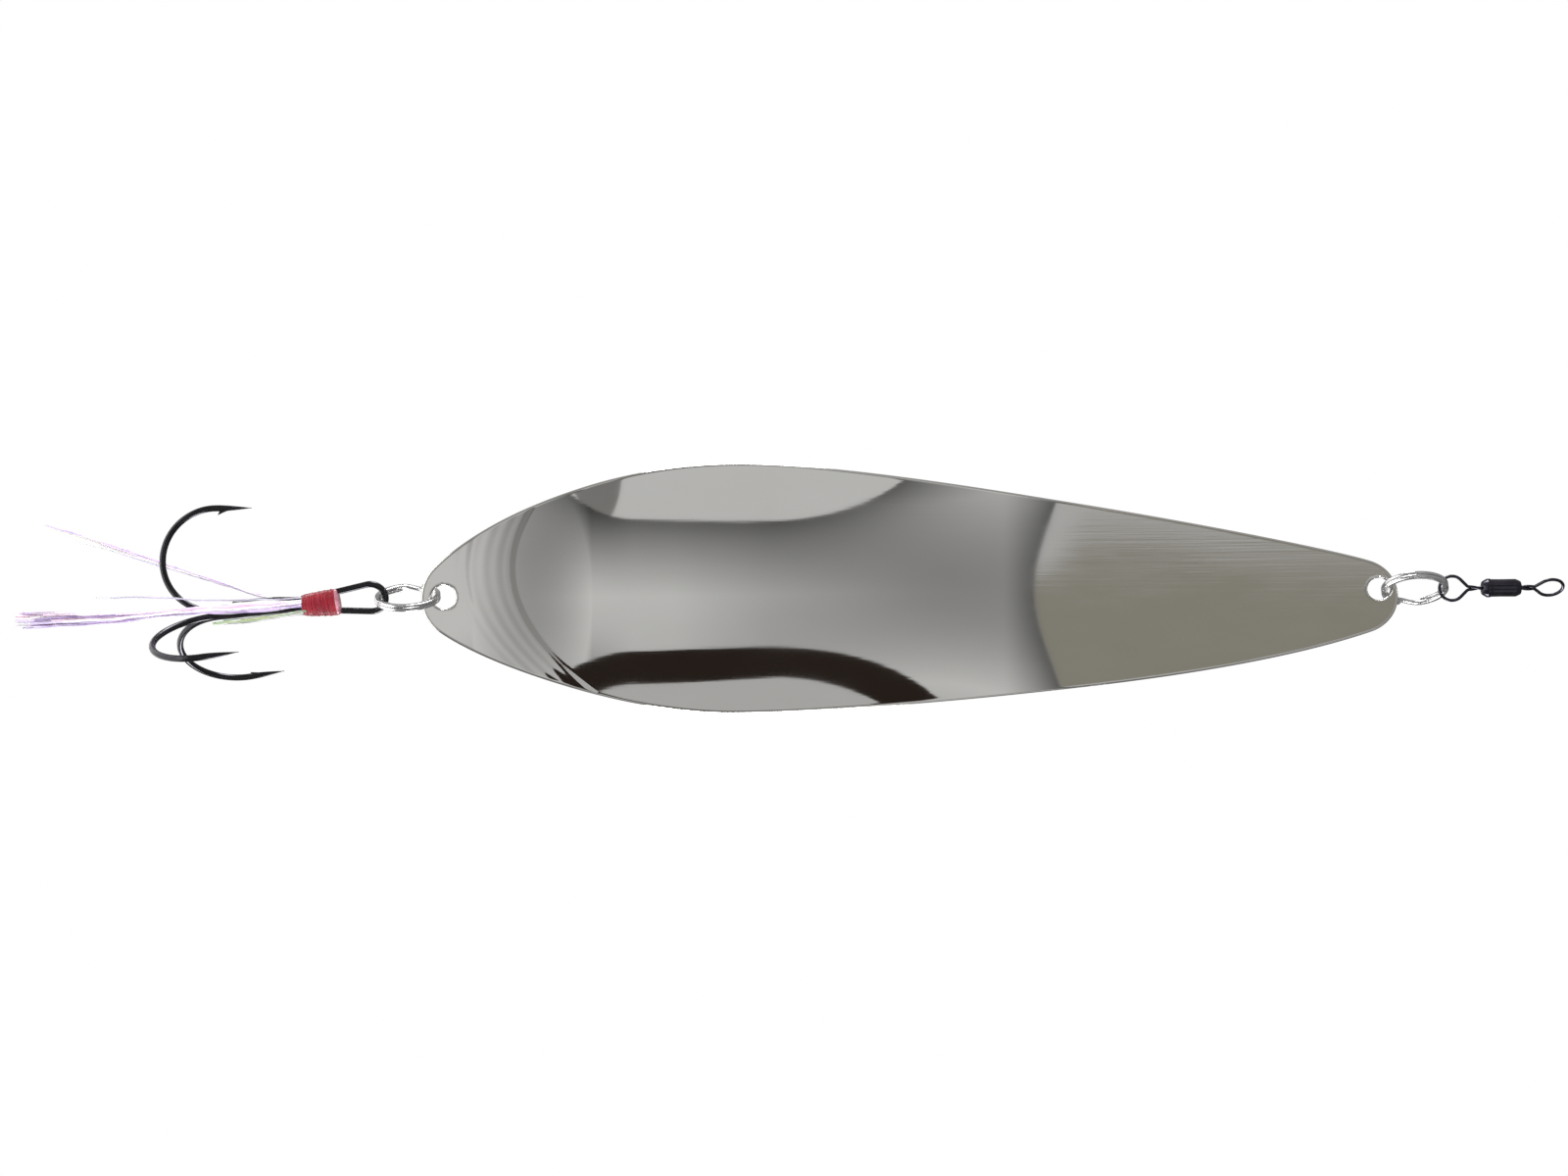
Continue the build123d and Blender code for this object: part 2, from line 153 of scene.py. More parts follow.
def smooth_step(value, start, end):
    """0 before start, 1 after end, and an even S curve between."""
    share = np.clip((value - start) / (end - start), 0.0, 1.0)
    return share * share * (3 - 2 * share)


# ---- mesh helpers --------------------------------------------------------------------------
def merge(shells):
    """Joins (points, faces) shells into one."""
    points, faces, start = [], [], 0
    for shell_points, shell_faces in shells:
        points.append(shell_points)
        faces += [[start + index for index in face] for face in shell_faces]
        start += len(shell_points)
    return np.vstack(points), faces


def unit(vectors):
    """Vectors scaled to length 1."""
    return vectors / np.linalg.norm(vectors, axis=-1, keepdims=True)


def carried_frames(points):
    """Side and up directions along a path, carried without twisting."""
    tangents = unit(np.gradient(points, axis=0))
    start = np.array((0.0, 0.0, 1.0)) if abs(tangents[0][2]) < 0.9 else np.array((1.0, 0.0, 0.0))
    side = unit(np.cross(tangents[0], start))
    sides = []
    for tangent in tangents:
        side = unit(side - tangent * side.dot(tangent))
        sides.append(side)
    sides = np.array(sides)
    return sides, np.cross(sides, tangents)


def held_frames(points, ups):
    """Side and up directions along a path, with up kept as near to the given vectors as it can."""
    tangents = unit(np.gradient(points, axis=0))
    sides = unit(np.cross(tangents, ups))
    return sides, np.cross(sides, tangents)


def tube_faces(rows, count):
    """Faces of stacked rings with both ends closed."""
    faces = []
    for row in range(rows - 1):
        for step in range(count):
            after = (step + 1) % count
            low, high = row * count, (row + 1) * count
            faces.append([low + step, low + after, high + after, high + step])
    faces.append(list(range(count))[::-1])
    faces.append(list(range((rows - 1) * count, rows * count)))
    return faces


def sweep(points, section, scales=None, ups=None):
    """A closed skin round a path. section is 2-D points round it, scales one factor per station."""
    points = np.asarray(points, float)
    sides, ups = carried_frames(points) if ups is None else held_frames(points, ups)
    scales = np.ones(len(points)) if scales is None else np.asarray(scales, float)
    offsets = section[None, :, 0, None] * sides[:, None, :] + section[None, :, 1, None] * ups[:, None, :]
    skin = (points[:, None, :] + offsets * scales[:, None, None]).reshape(-1, 3)
    return skin, tube_faces(len(points), len(section))


def circle_section(radius, count):
    """A round section."""
    turns = np.linspace(0, 2 * math.pi, count, endpoint=False)
    return np.column_stack((np.cos(turns), np.sin(turns))) * radius


def rounded_section(width, height, corner, per_corner=4):
    """A rectangle with round corners, as a section."""
    points = []
    for quarter, (sx, sy) in enumerate(((1, 1), (-1, 1), (-1, -1), (1, -1))):
        centre = (sx * (width / 2 - corner), sy * (height / 2 - corner))
        for step in range(per_corner + 1):
            turn = math.pi / 2 * (quarter + step / per_corner)
            points.append((centre[0] + corner * math.cos(turn), centre[1] + corner * math.sin(turn)))
    return np.array(points)


def rounded_ends(path, radius, steps=5):
    """Adds stations so that a sweep closes in a round end. Gives points and scales."""
    path = np.asarray(path, float)
    turns = np.linspace(0, math.pi / 2 * 0.96, steps + 1)[1:]
    head = unit(path[0] - path[1])
    tail = unit(path[-1] - path[-2])
    start = [path[0] + head * radius * (math.sin(turn) - 1) for turn in turns[::-1]]
    end = [path[-1] + tail * radius * (math.sin(turn) - 1) for turn in turns]
    inner = path[1:-1]
    points = np.vstack((start, [path[0] - head * radius], inner, [path[-1] - tail * radius], end))
    scales = np.concatenate((np.cos(turns[::-1]), np.ones(len(inner) + 2), np.cos(turns)))
    return points, scales


def lathe(profile, count):
    """A skin turned about the Z axis from (radius, height) points."""
    turns = np.linspace(0, 2 * math.pi, count, endpoint=False)
    ring = np.column_stack((np.cos(turns), np.sin(turns)))
    points = [np.column_stack((ring * radius, np.full(count, height))) for radius, height in profile]
    return np.vstack(points), tube_faces(len(profile), count)


def softened(profile, radius, steps=3):
    """Rounds the corners of an open (radius, height) profile."""
    profile = [np.array(point, float) for point in profile]
    result = [profile[0]]
    for before, corner, after in zip(profile, profile[1:], profile[2:]):
        reach_in = min(radius, np.linalg.norm(before - corner) / 2.1)
        reach_out = min(radius, np.linalg.norm(after - corner) / 2.1)
        start = corner + unit(before - corner) * reach_in
        end = corner + unit(after - corner) * reach_out
        for step in range(steps + 1):
            share = step / steps
            result.append((1 - share) ** 2 * start + 2 * share * (1 - share) * corner + share ** 2 * end)
    result.append(profile[-1])
    return result


def arc_points(centre, start, end, axis_a, axis_b, radius, count):
    """Points on an arc in the plane of two unit axes, angles in radians."""
    turns = np.linspace(start, end, count)[:, None]
    return centre + radius * (np.cos(turns) * axis_a + np.sin(turns) * axis_b)


def evenly(path, step):
    """The same path with points an even step apart."""
    path = np.asarray(path, float)
    travel = np.concatenate(([0], np.cumsum(np.linalg.norm(np.diff(path, axis=0), axis=1))))
    count = max(int(travel[-1] / step), 2)
    places = np.linspace(0, travel[-1], count + 1)
    return np.column_stack([np.interp(places, travel, path[:, axis]) for axis in range(3)])


def add_piece(name, shell, place, material, body, nodes, sharp=None):
    """Makes a mesh piece that rides on a body, takes a slot's finish and stands for CAD nodes."""
    points, faces = shell
    mesh = bpy.data.meshes.new(name)
    mesh.from_pydata(place(points).tolist(), [], faces)
    mesh.update()
    make_outward(mesh)
    mesh.shade_smooth()
    if sharp:
        mesh.set_sharp_from_angle(angle=math.radians(sharp))
    mesh.materials.append(material)
    piece = bpy.data.objects.new(name, mesh)
    bpy.context.scene.collection.objects.link(piece)
    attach(piece, body)
    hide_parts(*nodes)
    return piece


def make_outward(mesh):
    """Turns every shell's faces outward."""
    import bmesh

    work = bmesh.new()
    work.from_mesh(mesh)
    bmesh.ops.recalc_face_normals(work, faces=work.faces)
    work.to_mesh(mesh)
    work.free()


# ---- materials -----------------------------------------------------------------------------
def new_material(name, **settings):
    """A Principled material with constants set on its own sockets. Gives it and its shader."""
    material = bpy.data.materials.new(name)
    material.use_nodes = True
    shader = material.node_tree.nodes["Principled BSDF"]
    for key, value in settings.items():
        socket = shader.inputs[key.replace("_", " ")]
        socket.default_value = (*value, 1.0) if isinstance(value, tuple) else value
    return material, shader


def node(material, kind, settings=None, inputs=None):
    """A shader node with its properties, and inputs that are numbers or links."""
    made = material.node_tree.nodes.new("ShaderNode" + kind)
    for key, value in (settings or {}).items():
        setattr(made, key, value)
    for key, value in (inputs or {}).items():
        connect(material, made, key, value)
    return made


def connect(material, target, key, value):
    """Links an output to a node's input, or sets a number there."""
    if isinstance(value, bpy.types.NodeSocket):
        material.node_tree.links.new(value, target.inputs[key])
    else:
        target.inputs[key].default_value = value


def stretched_noise(material, scale, detail):
    """Noise in object space with its own scale on each axis, per metre."""
    place = node(material, "TexCoord")
    mapping = node(material, "Mapping", inputs={"Vector": place.outputs["Object"], "Scale": scale})
    inputs = {"Vector": mapping.outputs["Vector"], "Scale": 1.0, "Detail": detail, "Roughness": 0.55}
    return node(material, "TexNoise", inputs=inputs)


def ranged(material, value, low, high):
    """Maps the middle of a noise's range to low..high."""
    inputs = {"Value": value, "From Min": 0.3, "From Max": 0.7, "To Min": low, "To Max": high}
    return node(material, "MapRange", inputs=inputs).outputs["Result"]


def bumped(material, shader, height, distance, under=None):
    """Adds a bump of a real height in metres, on top of another bump if given."""
    inputs = {"Height": height, "Distance": distance, "Strength": 1.0}
    if under is not None:
        inputs["Normal"] = under
    made = node(material, "Bump", inputs=inputs)
    connect(material, shader, "Normal", made.outputs["Normal"])
    return made.outputs["Normal"]


def mixed(material, share, first, second):
    """A colour between two, by a share."""
    made = node(material, "Mix", {"data_type": "RGBA"})
    connect(material, made, 0, share)
    connect(material, made, 6, (*first, 1.0))
    connect(material, made, 7, (*second, 1.0))
    return made.outputs[2]


def blade_material():
    """Bright plate with faint lengthwise polish lines, slow waviness and an uneven haze in tint and
    roughness.
    """
    material, shader = new_material("blade_chrome", Metallic=1.0)
    lines = stretched_noise(material, (1500, 60, 24), detail=4)
    fine = stretched_noise(material, (5200, 200, 90), detail=2)
    waves = stretched_noise(material, (34, 20, 26), detail=1)
    haze = stretched_noise(material, (160, 90, 55), detail=3)
    connect(material, shader, "Roughness", ranged(material, haze.outputs["Fac"], 0.035, 0.075))
    tint = mixed(material, haze.outputs["Fac"], (0.80, 0.79, 0.76), (0.86, 0.85, 0.83))
    connect(material, shader, "Base Color", tint)
    normal = bumped(material, shader, waves.outputs["Fac"], 0.00006)
    normal = bumped(material, shader, lines.outputs["Fac"], 0.0000016, under=normal)
    bumped(material, shader, fine.outputs["Fac"], 0.0000008, under=normal)
    return material


def steel_material():
    """Bright nickel spring wire with drawing marks."""
    material, shader = new_material("ring_steel", Metallic=1.0)
    marks = stretched_noise(material, (900, 900, 900), detail=4)
    connect(material, shader, "Roughness", ranged(material, marks.outputs["Fac"], 0.14, 0.30))
    tint = mixed(material, marks.outputs["Fac"], (0.70, 0.70, 0.72), (0.86, 0.86, 0.87))
    connect(material, shader, "Base Color", tint)
    bumped(material, shader, marks.outputs["Fac"], 0.000012)
    return material


def black_nickel(name, dark, light, rough):
    """Dark nickel plate, a little uneven."""
    material, shader = new_material(name, Metallic=1.0)
    patches = stretched_noise(material, (420, 420, 420), detail=4)
    connect(material, shader, "Base Color", mixed(material, patches.outputs["Fac"], dark, light))
    connect(material, shader, "Roughness", ranged(material, patches.outputs["Fac"], rough * 0.7, rough * 1.3))
    bumped(material, shader, patches.outputs["Fac"], 0.00001)
    return material


def thread_material():
    """Waxed red thread: fibres along each turn, and a red that varies in patches."""
    material, shader = new_material(
        "red_thread", Sheen_Weight=0.1, Sheen_Roughness=0.4, Coat_Weight=0.25, Coat_Roughness=0.25
    )
    fibres = stretched_noise(material, (900, 900, 9000), detail=3)
    patches = stretched_noise(material, (500, 500, 700), detail=2)
    red = mixed(material, patches.outputs["Fac"], (0.08, 0.002, 0.007), (0.27, 0.006, 0.018))
    connect(material, shader, "Base Color", red)
    connect(material, shader, "Roughness", ranged(material, fibres.outputs["Fac"], 0.35, 0.6))
    bumped(material, shader, fibres.outputs["Fac"], 0.00002)
    return material


def cement_material():
    """A clear glossy bead, stained by the thread under it."""
    material, shader = new_material(
        "clear_cement",
        Transmission_Weight=0.35,
        IOR=1.48,
        Coat_Weight=1.0,
        Coat_Roughness=0.04,
        Subsurface_Weight=0.2,
    )
    swirl = stretched_noise(material, (700, 700, 700), detail=2)
    tint = mixed(material, swirl.outputs["Fac"], (0.42, 0.08, 0.12), (0.70, 0.34, 0.40))
    connect(material, shader, "Base Color", tint)
    connect(material, shader, "Roughness", ranged(material, swirl.outputs["Fac"], 0.08, 0.2))
    return material


def tinsel_material(name, rough, film):
    """Metallised film. Each strand carries its own colour; a thin film shifts it with the light."""
    material, shader = new_material(name, Metallic=0.3, Thin_Film_Thickness=film, Thin_Film_IOR=1.6)
    strand = node(material, "Attribute", {"attribute_name": "strand_colour"})
    crinkle = stretched_noise(material, (1400, 1400, 420), detail=3)
    connect(material, shader, "Base Color", strand.outputs["Color"])
    connect(material, shader, "Roughness", ranged(material, crinkle.outputs["Fac"], rough * 0.6, rough * 1.5))
    bumped(material, shader, crinkle.outputs["Fac"], 0.00004)
    return material


# ---- blade ---------------------------------------------------------------------------------
def long_curve(z):
    """The long arc of the blade, with its nose bent forward past the nose bend."""
    middle = (FRONT_PIVOT + REAR_PIVOT) / 2
    half_span = (FRONT_PIVOT - REAR_PIVOT) / 2
    past = z - BLADE_REAR - NOSE_BEND
    blend = np.maximum(past + NOSE_BLEND, 0.0) ** 2 / (4 * NOSE_BLEND)
    past = np.where(past < NOSE_BLEND, blend, past)
    return ARC_DEPTH * (1 - ((z - middle) / half_span) ** 2) - NOSE_SLOPE * past


def blade_depth(x, z):
    """Y of the middle of the sheet, 0 at both webs: long curve, bowl behind the tab, and cup."""
    share = (z - REAR_PIVOT) / (FRONT_PIVOT - REAR_PIVOT)
    chord = (1 - share) * long_curve(REAR_PIVOT) + share * long_curve(FRONT_PIVOT)
    from_rear = z - BLADE_REAR
    bowl = smooth_step(from_rear, 7, 24) - smooth_step(from_rear, 36, 110)
    cup = smooth_step(from_rear, 2, 30) - smooth_step(from_rear, 50, 98)
    curve = CUP_CURVE * (FLAT_SHARE + (1 - FLAT_SHARE) * cup)
    return long_curve(z) - chord + BOWL_DEPTH * bowl - curve * x * x


def stamped_detail(x, z):
    """The crease where the bowl meets the tab, and faint stamping ripples on the tab."""
    past = z - BLADE_REAR - (13.3 + 0.28 * x + 0.036 * x * x)
    height = CREASE_HEIGHT * (1 + (x / 10) ** 2)
    crease = height * (smooth_step(past, -CREASE_WIDTH / 2, CREASE_WIDTH / 2) - smooth_step(past, 2, 30))
    ripple = RIPPLE_HEIGHT * np.sin(2 * math.pi * past / RIPPLE_SPACING)
    return crease + ripple * smooth_step(past, -8.5, -6) * (1 - smooth_step(past, -1.4, -0.4))


def bezier(points, count):
    """Points on a cubic curve."""
    share = np.linspace(0, 1, count)[:, None]
    a, b, c, d = (np.array(point, float) for point in points)
    rest = 1 - share
    return rest ** 3 * a + 3 * rest ** 2 * share * b + 3 * rest * share ** 2 * c + share ** 3 * d


def side_points(sign, side):
    """One long edge of the outline from rear tip to front tip, as (x, z) points."""
    half_width, rear_out, rear_in, front_in, front_out = side
    ends = []
    for (radius, offset, half_angle), tip, way in ((REAR_ARC, BLADE_REAR, 1), (FRONT_ARC, BLADE_FRONT, -1)):
        turns = np.linspace(0, math.radians(half_angle), 120)
        x = offset + sign * radius * np.sin(turns)
        z = tip + way * radius * (1 - np.cos(turns))
        heading = np.array((sign * math.cos(turns[-1]), way * math.sin(turns[-1])))
        ends.append((np.column_stack((x, z)), heading))
    (rear_arc, rear_heading), (front_arc, front_heading) = ends
    widest = np.array((sign * half_width, BLADE_REAR + WIDEST_FROM_REAR))
    along = np.array((0.0, 1.0))
    rear, front = rear_arc[-1], front_arc[-1]
    first = bezier((rear, rear + rear_heading * rear_out, widest - along * rear_in, widest), 700)
    second = bezier((widest, widest + along * front_in, front + front_heading * front_out, front), 700)
    return np.vstack((rear_arc, first[1:], second[1:], front_arc[::-1][1:]))


BLADE_ROWS = 300
CREASE_HEIGHT = 0.05
CREASE_WIDTH = 1.0
RIPPLE_HEIGHT = 0.007
RIPPLE_SPACING = 1.8
CREASE_ROWS = (5.0, 27.0, 0.13)
BLADE_COLUMNS = 88
RIM_RADIUS = 0.34
HOLE_RIM = 0.24
HOLE_RIM_STEPS = 4
TIP_GAP = 0.0025


def distance_to(points, outline):
    """How far each (x, z) point is from the outline's segments."""
    start, step = outline[:-1], np.diff(outline, axis=0)
    length = np.maximum((step ** 2).sum(1), 1e-12)
    result = np.empty(len(points))
    for first in range(0, len(points), 4000):
        part = points[first:first + 4000]
        offset = part[:, None, :] - start[None]
        share = np.clip((offset * step[None]).sum(2) / length, 0, 1)
        gap = offset - share[:, :, None] * step[None]
        result[first:first + 4000] = np.sqrt((gap ** 2).sum(2).min(1))
    return result


def rounded_half(distance, radius):
    """Half the sheet's thickness at a distance from a rounded rim."""
    inside = np.clip(radius - distance, 0, radius)
    return BLADE_THICKNESS / 2 - radius + np.sqrt(radius ** 2 - inside ** 2)


def blade_shell():
    """The cupped sheet: a fine grid in its outline, two round holes and rounded rims."""
    left, right = side_points(-1, LEFT_SIDE), side_points(1, RIGHT_SIDE)
    share = (1 - np.cos(np.linspace(0, math.pi, BLADE_ROWS))) / 2
    rows = BLADE_REAR + TIP_GAP + (BLADE_FRONT - BLADE_REAR - 2 * TIP_GAP) * share
    rows = np.union1d(rows, BLADE_REAR + np.arange(*CREASE_ROWS))
    low = np.interp(rows, left[:, 1], left[:, 0])
    high = np.interp(rows, right[:, 1], right[:, 0])
    across = (1 + np.sin(np.linspace(-math.pi / 2, math.pi / 2, BLADE_COLUMNS))) / 2
    x = low[:, None] + (high - low)[:, None] * across[None]
    z = np.repeat(rows[:, None], BLADE_COLUMNS, 1)
    flat = np.column_stack((x.ravel(), z.ravel()))
    outline = np.vstack((left, right[::-1]))
    half = rounded_half(distance_to(flat, outline), RIM_RADIUS)
    quads = grid_faces(len(rows), BLADE_COLUMNS)
    kept, rings = cut_holes(flat, half, quads)
    return closed_sheet(flat, half, kept, rings)


def grid_faces(rows, columns):
    """Quads of a grid."""
    row, column = np.meshgrid(np.arange(rows - 1), np.arange(columns - 1), indexing="ij")
    corner = (row * columns + column).ravel()
    return np.column_stack((corner, corner + 1, corner + columns + 1, corner + columns))


def cut_holes(flat, half, quads):
    """Leaves out the quads in the holes and snaps their edges to circles."""
    kept, rings = quads, []
    for centre_z, radius in (FRONT_HOLE, REAR_HOLE):
        centre = np.array((0.0, centre_z))
        outer = radius + HOLE_RIM
        middles = flat[kept].mean(axis=1)
        gone = np.linalg.norm(middles - centre, axis=1) < outer
        cut = kept[gone]
        kept = kept[~gone]
        ring = np.intersect1d(cut.ravel(), kept.ravel())
        offset = flat[ring] - centre
        ring = ring[np.argsort(np.arctan2(offset[:, 1], offset[:, 0]))]
        turns = np.arctan2(flat[ring, 1] - centre_z, flat[ring, 0])
        flat[ring] = centre + outer * np.column_stack((np.cos(turns), np.sin(turns)))
        half[ring] = BLADE_THICKNESS / 2
        rings.append((ring, centre, radius, turns))
    return kept, rings


def closed_sheet(flat, half, kept, rings):
    """Front and back faces, the outer wall and the rounded walls of the holes."""
    used = np.unique(kept)
    index = np.full(len(flat), -1)
    index[used] = np.arange(len(used))
    count = len(used)
    x, z, thick = flat[used, 0], flat[used, 1], half[used]
    middle = blade_depth(x, z) + stamped_detail(x, z)
    points = [np.column_stack((x, middle - thick, z)), np.column_stack((x, middle + thick, z))]
    front = index[kept]
    faces = front.tolist() + (front[:, ::-1] + count).tolist()
    hole_points = set()
    for ring, _centre, _radius, _turns in rings:
        hole_points |= set(index[ring].tolist())
    for a, b in open_edges(front):
        if not (a in hole_points and b in hole_points):
            faces.append([b, a, a + count, b + count])
    start = 2 * count
    for ring, centre, radius, turns in rings:
        ring = index[ring]
        wall, wall_faces, start = hole_wall(ring, centre, radius, turns, count, start)
        points += wall
        faces += wall_faces
    return np.vstack(points), faces


def open_edges(quads):
    """Edges that only one quad uses, in that quad's direction."""
    edges = {}
    for quad in quads.tolist():
        for a, b in zip(quad, quad[1:] + quad[:1]):
            if (b, a) in edges:
                del edges[(b, a)]
            else:
                edges[(a, b)] = True
    return list(edges)


def hole_wall(ring, centre, radius, turns, count, start):
    """Rounds from the front face into a hole, through it and out to the back face."""
    direction = np.column_stack((np.cos(turns), np.sin(turns)))
    angles = np.linspace(0, math.pi / 2, HOLE_RIM_STEPS + 1)[1:]
    profile = [
        (radius + HOLE_RIM * (1 - math.sin(angle)), BLADE_THICKNESS / 2 - HOLE_RIM * (1 - math.cos(angle)))
        for angle in angles
    ]
    profile = [(r, -h) for r, h in profile] + [(r, h) for r, h in profile[::-1]]
    loops, points = [ring], []
    for ring_radius, offset in profile:
        flat = centre + ring_radius * direction
        y = blade_depth(flat[:, 0], flat[:, 1]) + stamped_detail(flat[:, 0], flat[:, 1]) + offset
        points.append(np.column_stack((flat[:, 0], y, flat[:, 1])))
        loops.append(np.arange(start, start + len(ring)))
        start += len(ring)
    loops.append(ring + count)
    faces = []
    for near, far in zip(loops, loops[1:]):
        for step in range(len(ring)):
            after = (step + 1) % len(ring)
            faces.append([int(near[step]), int(near[after]), int(far[after]), int(far[step])])
    return points, faces, start


# ---- split rings ---------------------------------------------------------------------------
def ring_shell():
    """Two flat turns of spring wire joined by a jog, ends a little rounded."""
    jog = RING_JOG_HALF_ANGLE
    degrees = np.linspace(jog, 720 - jog, 470)
    turns = np.radians(degrees)
    level = RING_HALF_STEP * (2 * smooth_step(degrees, 360 - jog, 360 + jog) - 1)
    path = np.column_stack((RING_MEAN * np.cos(turns), RING_MEAN * np.sin(turns), level))
    path, scales = rounded_ends(path, 0.16, steps=4)
    scales = np.maximum(scales, 0.55)
    ups = np.repeat([[0.0, 0.0, 1.0]], len(path), 0)
    section = rounded_section(RING_WIRE_RADIAL, RING_WIRE_AXIAL, 0.15)
    return sweep(path, section, scales, ups)


def ring_place(centre, turn, place):
    """Stands a ring in the chain, its plane turned a little from YZ."""
    angle = math.radians(turn)
    x_axis = np.array((math.sin(angle), math.cos(angle), 0.0))
    z_axis = np.array((-math.cos(angle), math.sin(angle), 0.0))
    y_axis = np.cross(z_axis, x_axis)
    middle = np.array((0.0, 0.0, centre))

    def stand(points):
        moved = points[:, :1] * x_axis + points[:, 1:2] * y_axis + points[:, 2:] * z_axis
        return place(moved + middle)

    return stand


# ---- swivel --------------------------------------------------------------------------------
TWIN_WIRE = 0.21
NECK_TURNS = 0.75


def eye_shell():
    """A wire eye whose two ends run side by side down the neck, with the head below."""
    reach = math.acos(EYE_CENTRELINE / EYE_DROP)
    across, along = np.array((1.0, 0.0, 0.0)), np.array((0.0, 0.0, 1.0))
    start, end = reach - math.pi / 2, 1.5 * math.pi - reach
    loop = arc_points(np.zeros(3), start, end, across, along, EYE_CENTRELINE, 64)
    side = loop[0]
    bottom = -EYE_DROP - NECK_LENGTH - NECK_IN_BARREL
    heights = np.linspace(bottom, -EYE_DROP - 0.15, 26)
    turns = (heights - heights[-1]) / NECK_LENGTH * NECK_TURNS * math.pi
    left, right = [], []
    for height, turn in zip(heights, turns):
        offset = np.array((math.cos(turn), math.sin(turn), 0.0)) * TWIN_WIRE
        right.append(offset + (0, 0, height))
        left.append(-offset + (0, 0, height))
    foot = np.array((TWIN_WIRE, 0.0, -EYE_DROP + 0.05))
    lead = np.linspace(foot, side, 8)[1:-1]
    mirror = np.array((-1.0, 1.0, 1.0))
    path = np.vstack((right, [foot], lead, loop, (lead * mirror)[::-1], [foot * mirror], left[::-1]))
    path = smoothed(evenly(path, 0.09), 5)
    radius = np.where(path[:, 2] < -EYE_DROP - 0.1, TWIN_WIRE, EYE_WIRE / 2)
    radius = np.convolve(np.pad(radius, 6, mode="edge"), np.ones(13) / 13, mode="valid")
    wire = sweep(path, circle_section(1.0, 14), radius)
    head_radius = HEAD_DIAMETER / 2
    foot_of_head = bottom - HEAD_LENGTH
    head = [(0.2, bottom), (head_radius, bottom), (head_radius, foot_of_head), (0.2, foot_of_head)]
    return merge((wire, lathe(softened(head, 0.15), 32)))


def smoothed(path, passes):
    """Evens out small kinks, ends kept."""
    path = path.copy()
    for _ in range(passes):
        path[1:-1] = (path[:-2] + 2 * path[1:-1] + path[2:]) / 4
    return path


def barrel_shell():
    """The crimped barrel: chamfered ends, a raised collar and a slightly sunken waist."""
    low, high = BARREL_BOTTOM, BARREL_TOP
    outer = [
        (0.50, low + 0.5), (0.50, low), (0.95, low), (1.35, low + 0.7), (1.35, low + 1.15),
        (1.27, low + 1.23), (1.25, low + 2.6), (1.27, high - 0.95), (1.27, high - 0.7),
        (0.95, high), (0.50, high), (0.50, high - 0.5),
    ]
    return lathe(softened(outer, 0.12), 56)


# ---- treble hook ---------------------------------------------------------------------------
def bend_point(azimuth, turn):
    """A point on a hook's bend, by its angle in radians."""
    radius = SHANK_OFFSET + BEND_RADIUS * (1 - math.cos(turn))
    return around(radius, azimuth, BEND_START - BEND_RADIUS * math.sin(turn))


def point_axes(azimuth):
    """The way a hook's point looks, and the way in towards the shank."""
    heading = around(-math.sin(POINT_TURN_IN), azimuth, math.cos(POINT_TURN_IN))
    inward = around(-math.cos(POINT_TURN_IN), azimuth, -math.sin(POINT_TURN_IN))
    return heading, inward


def hook_run(azimuth):
    """Path of one hook from its tip round the bend to the shank, and the wire's radii on it."""
    heading, _inward = point_axes(azimuth)
    end = bend_point(azimuth, math.pi + POINT_TURN_IN)
    base = end + heading * (POINT_LEG - POINT_TAPER)
    shares = np.linspace(1, 0, 40)
    taper = base + heading * POINT_TAPER * shares[:, None]
    radii = np.maximum(HOOK_WIRE / 2 * (1 - shares ** 1.5), POINT_TIP_RADIUS)
    bend = [bend_point(azimuth, turn) for turn in np.linspace(math.pi + POINT_TURN_IN, 0, 72)]
    path = np.vstack((taper, bend))
    return path, np.concatenate((radii, np.full(len(bend), HOOK_WIRE / 2)))


def barb_shell(azimuth):
    """The barb cut up from the inner side of a point."""
    heading, inward = point_axes(azimuth)
    tip = bend_point(azimuth, math.pi + POINT_TURN_IN) + heading * POINT_LEG
    front = tip - heading * BARB_FROM_TIP
    width = np.cross(heading, inward) * BARB_THICKNESS / 2
    rise = HOOK_WIRE / 2 + BARB_RISE
    outline = ((0.35, 0.0, 1.0), (0.2, 0.24, 1.0), (-0.6, 0.56, 0.8), (-BARB_LENGTH, rise, 0.25),
               (-BARB_LENGTH * 0.86, 0.6, 0.8), (-BARB_LENGTH * 0.74, 0.0, 1.0))
    points = []
    for way in (-1, 1):
        for along, up, wide in outline:
            points.append(front + heading * along + inward * up + width * way * wide)
    count = len(outline)
    faces = [list(range(count)), list(range(count, 2 * count))[::-1]]
    for step in range(count):
        after = (step + 1) % count
        faces.append([step, step + count, after + count, after])
    return np.array(points), faces


def leg_point(spread, height, middle):
    """A point in the plane of the hook's eye, spread to one side of its middle."""
    return around(spread, middle - 90, height) + around(SHANK_OFFSET / 2, middle, 0)


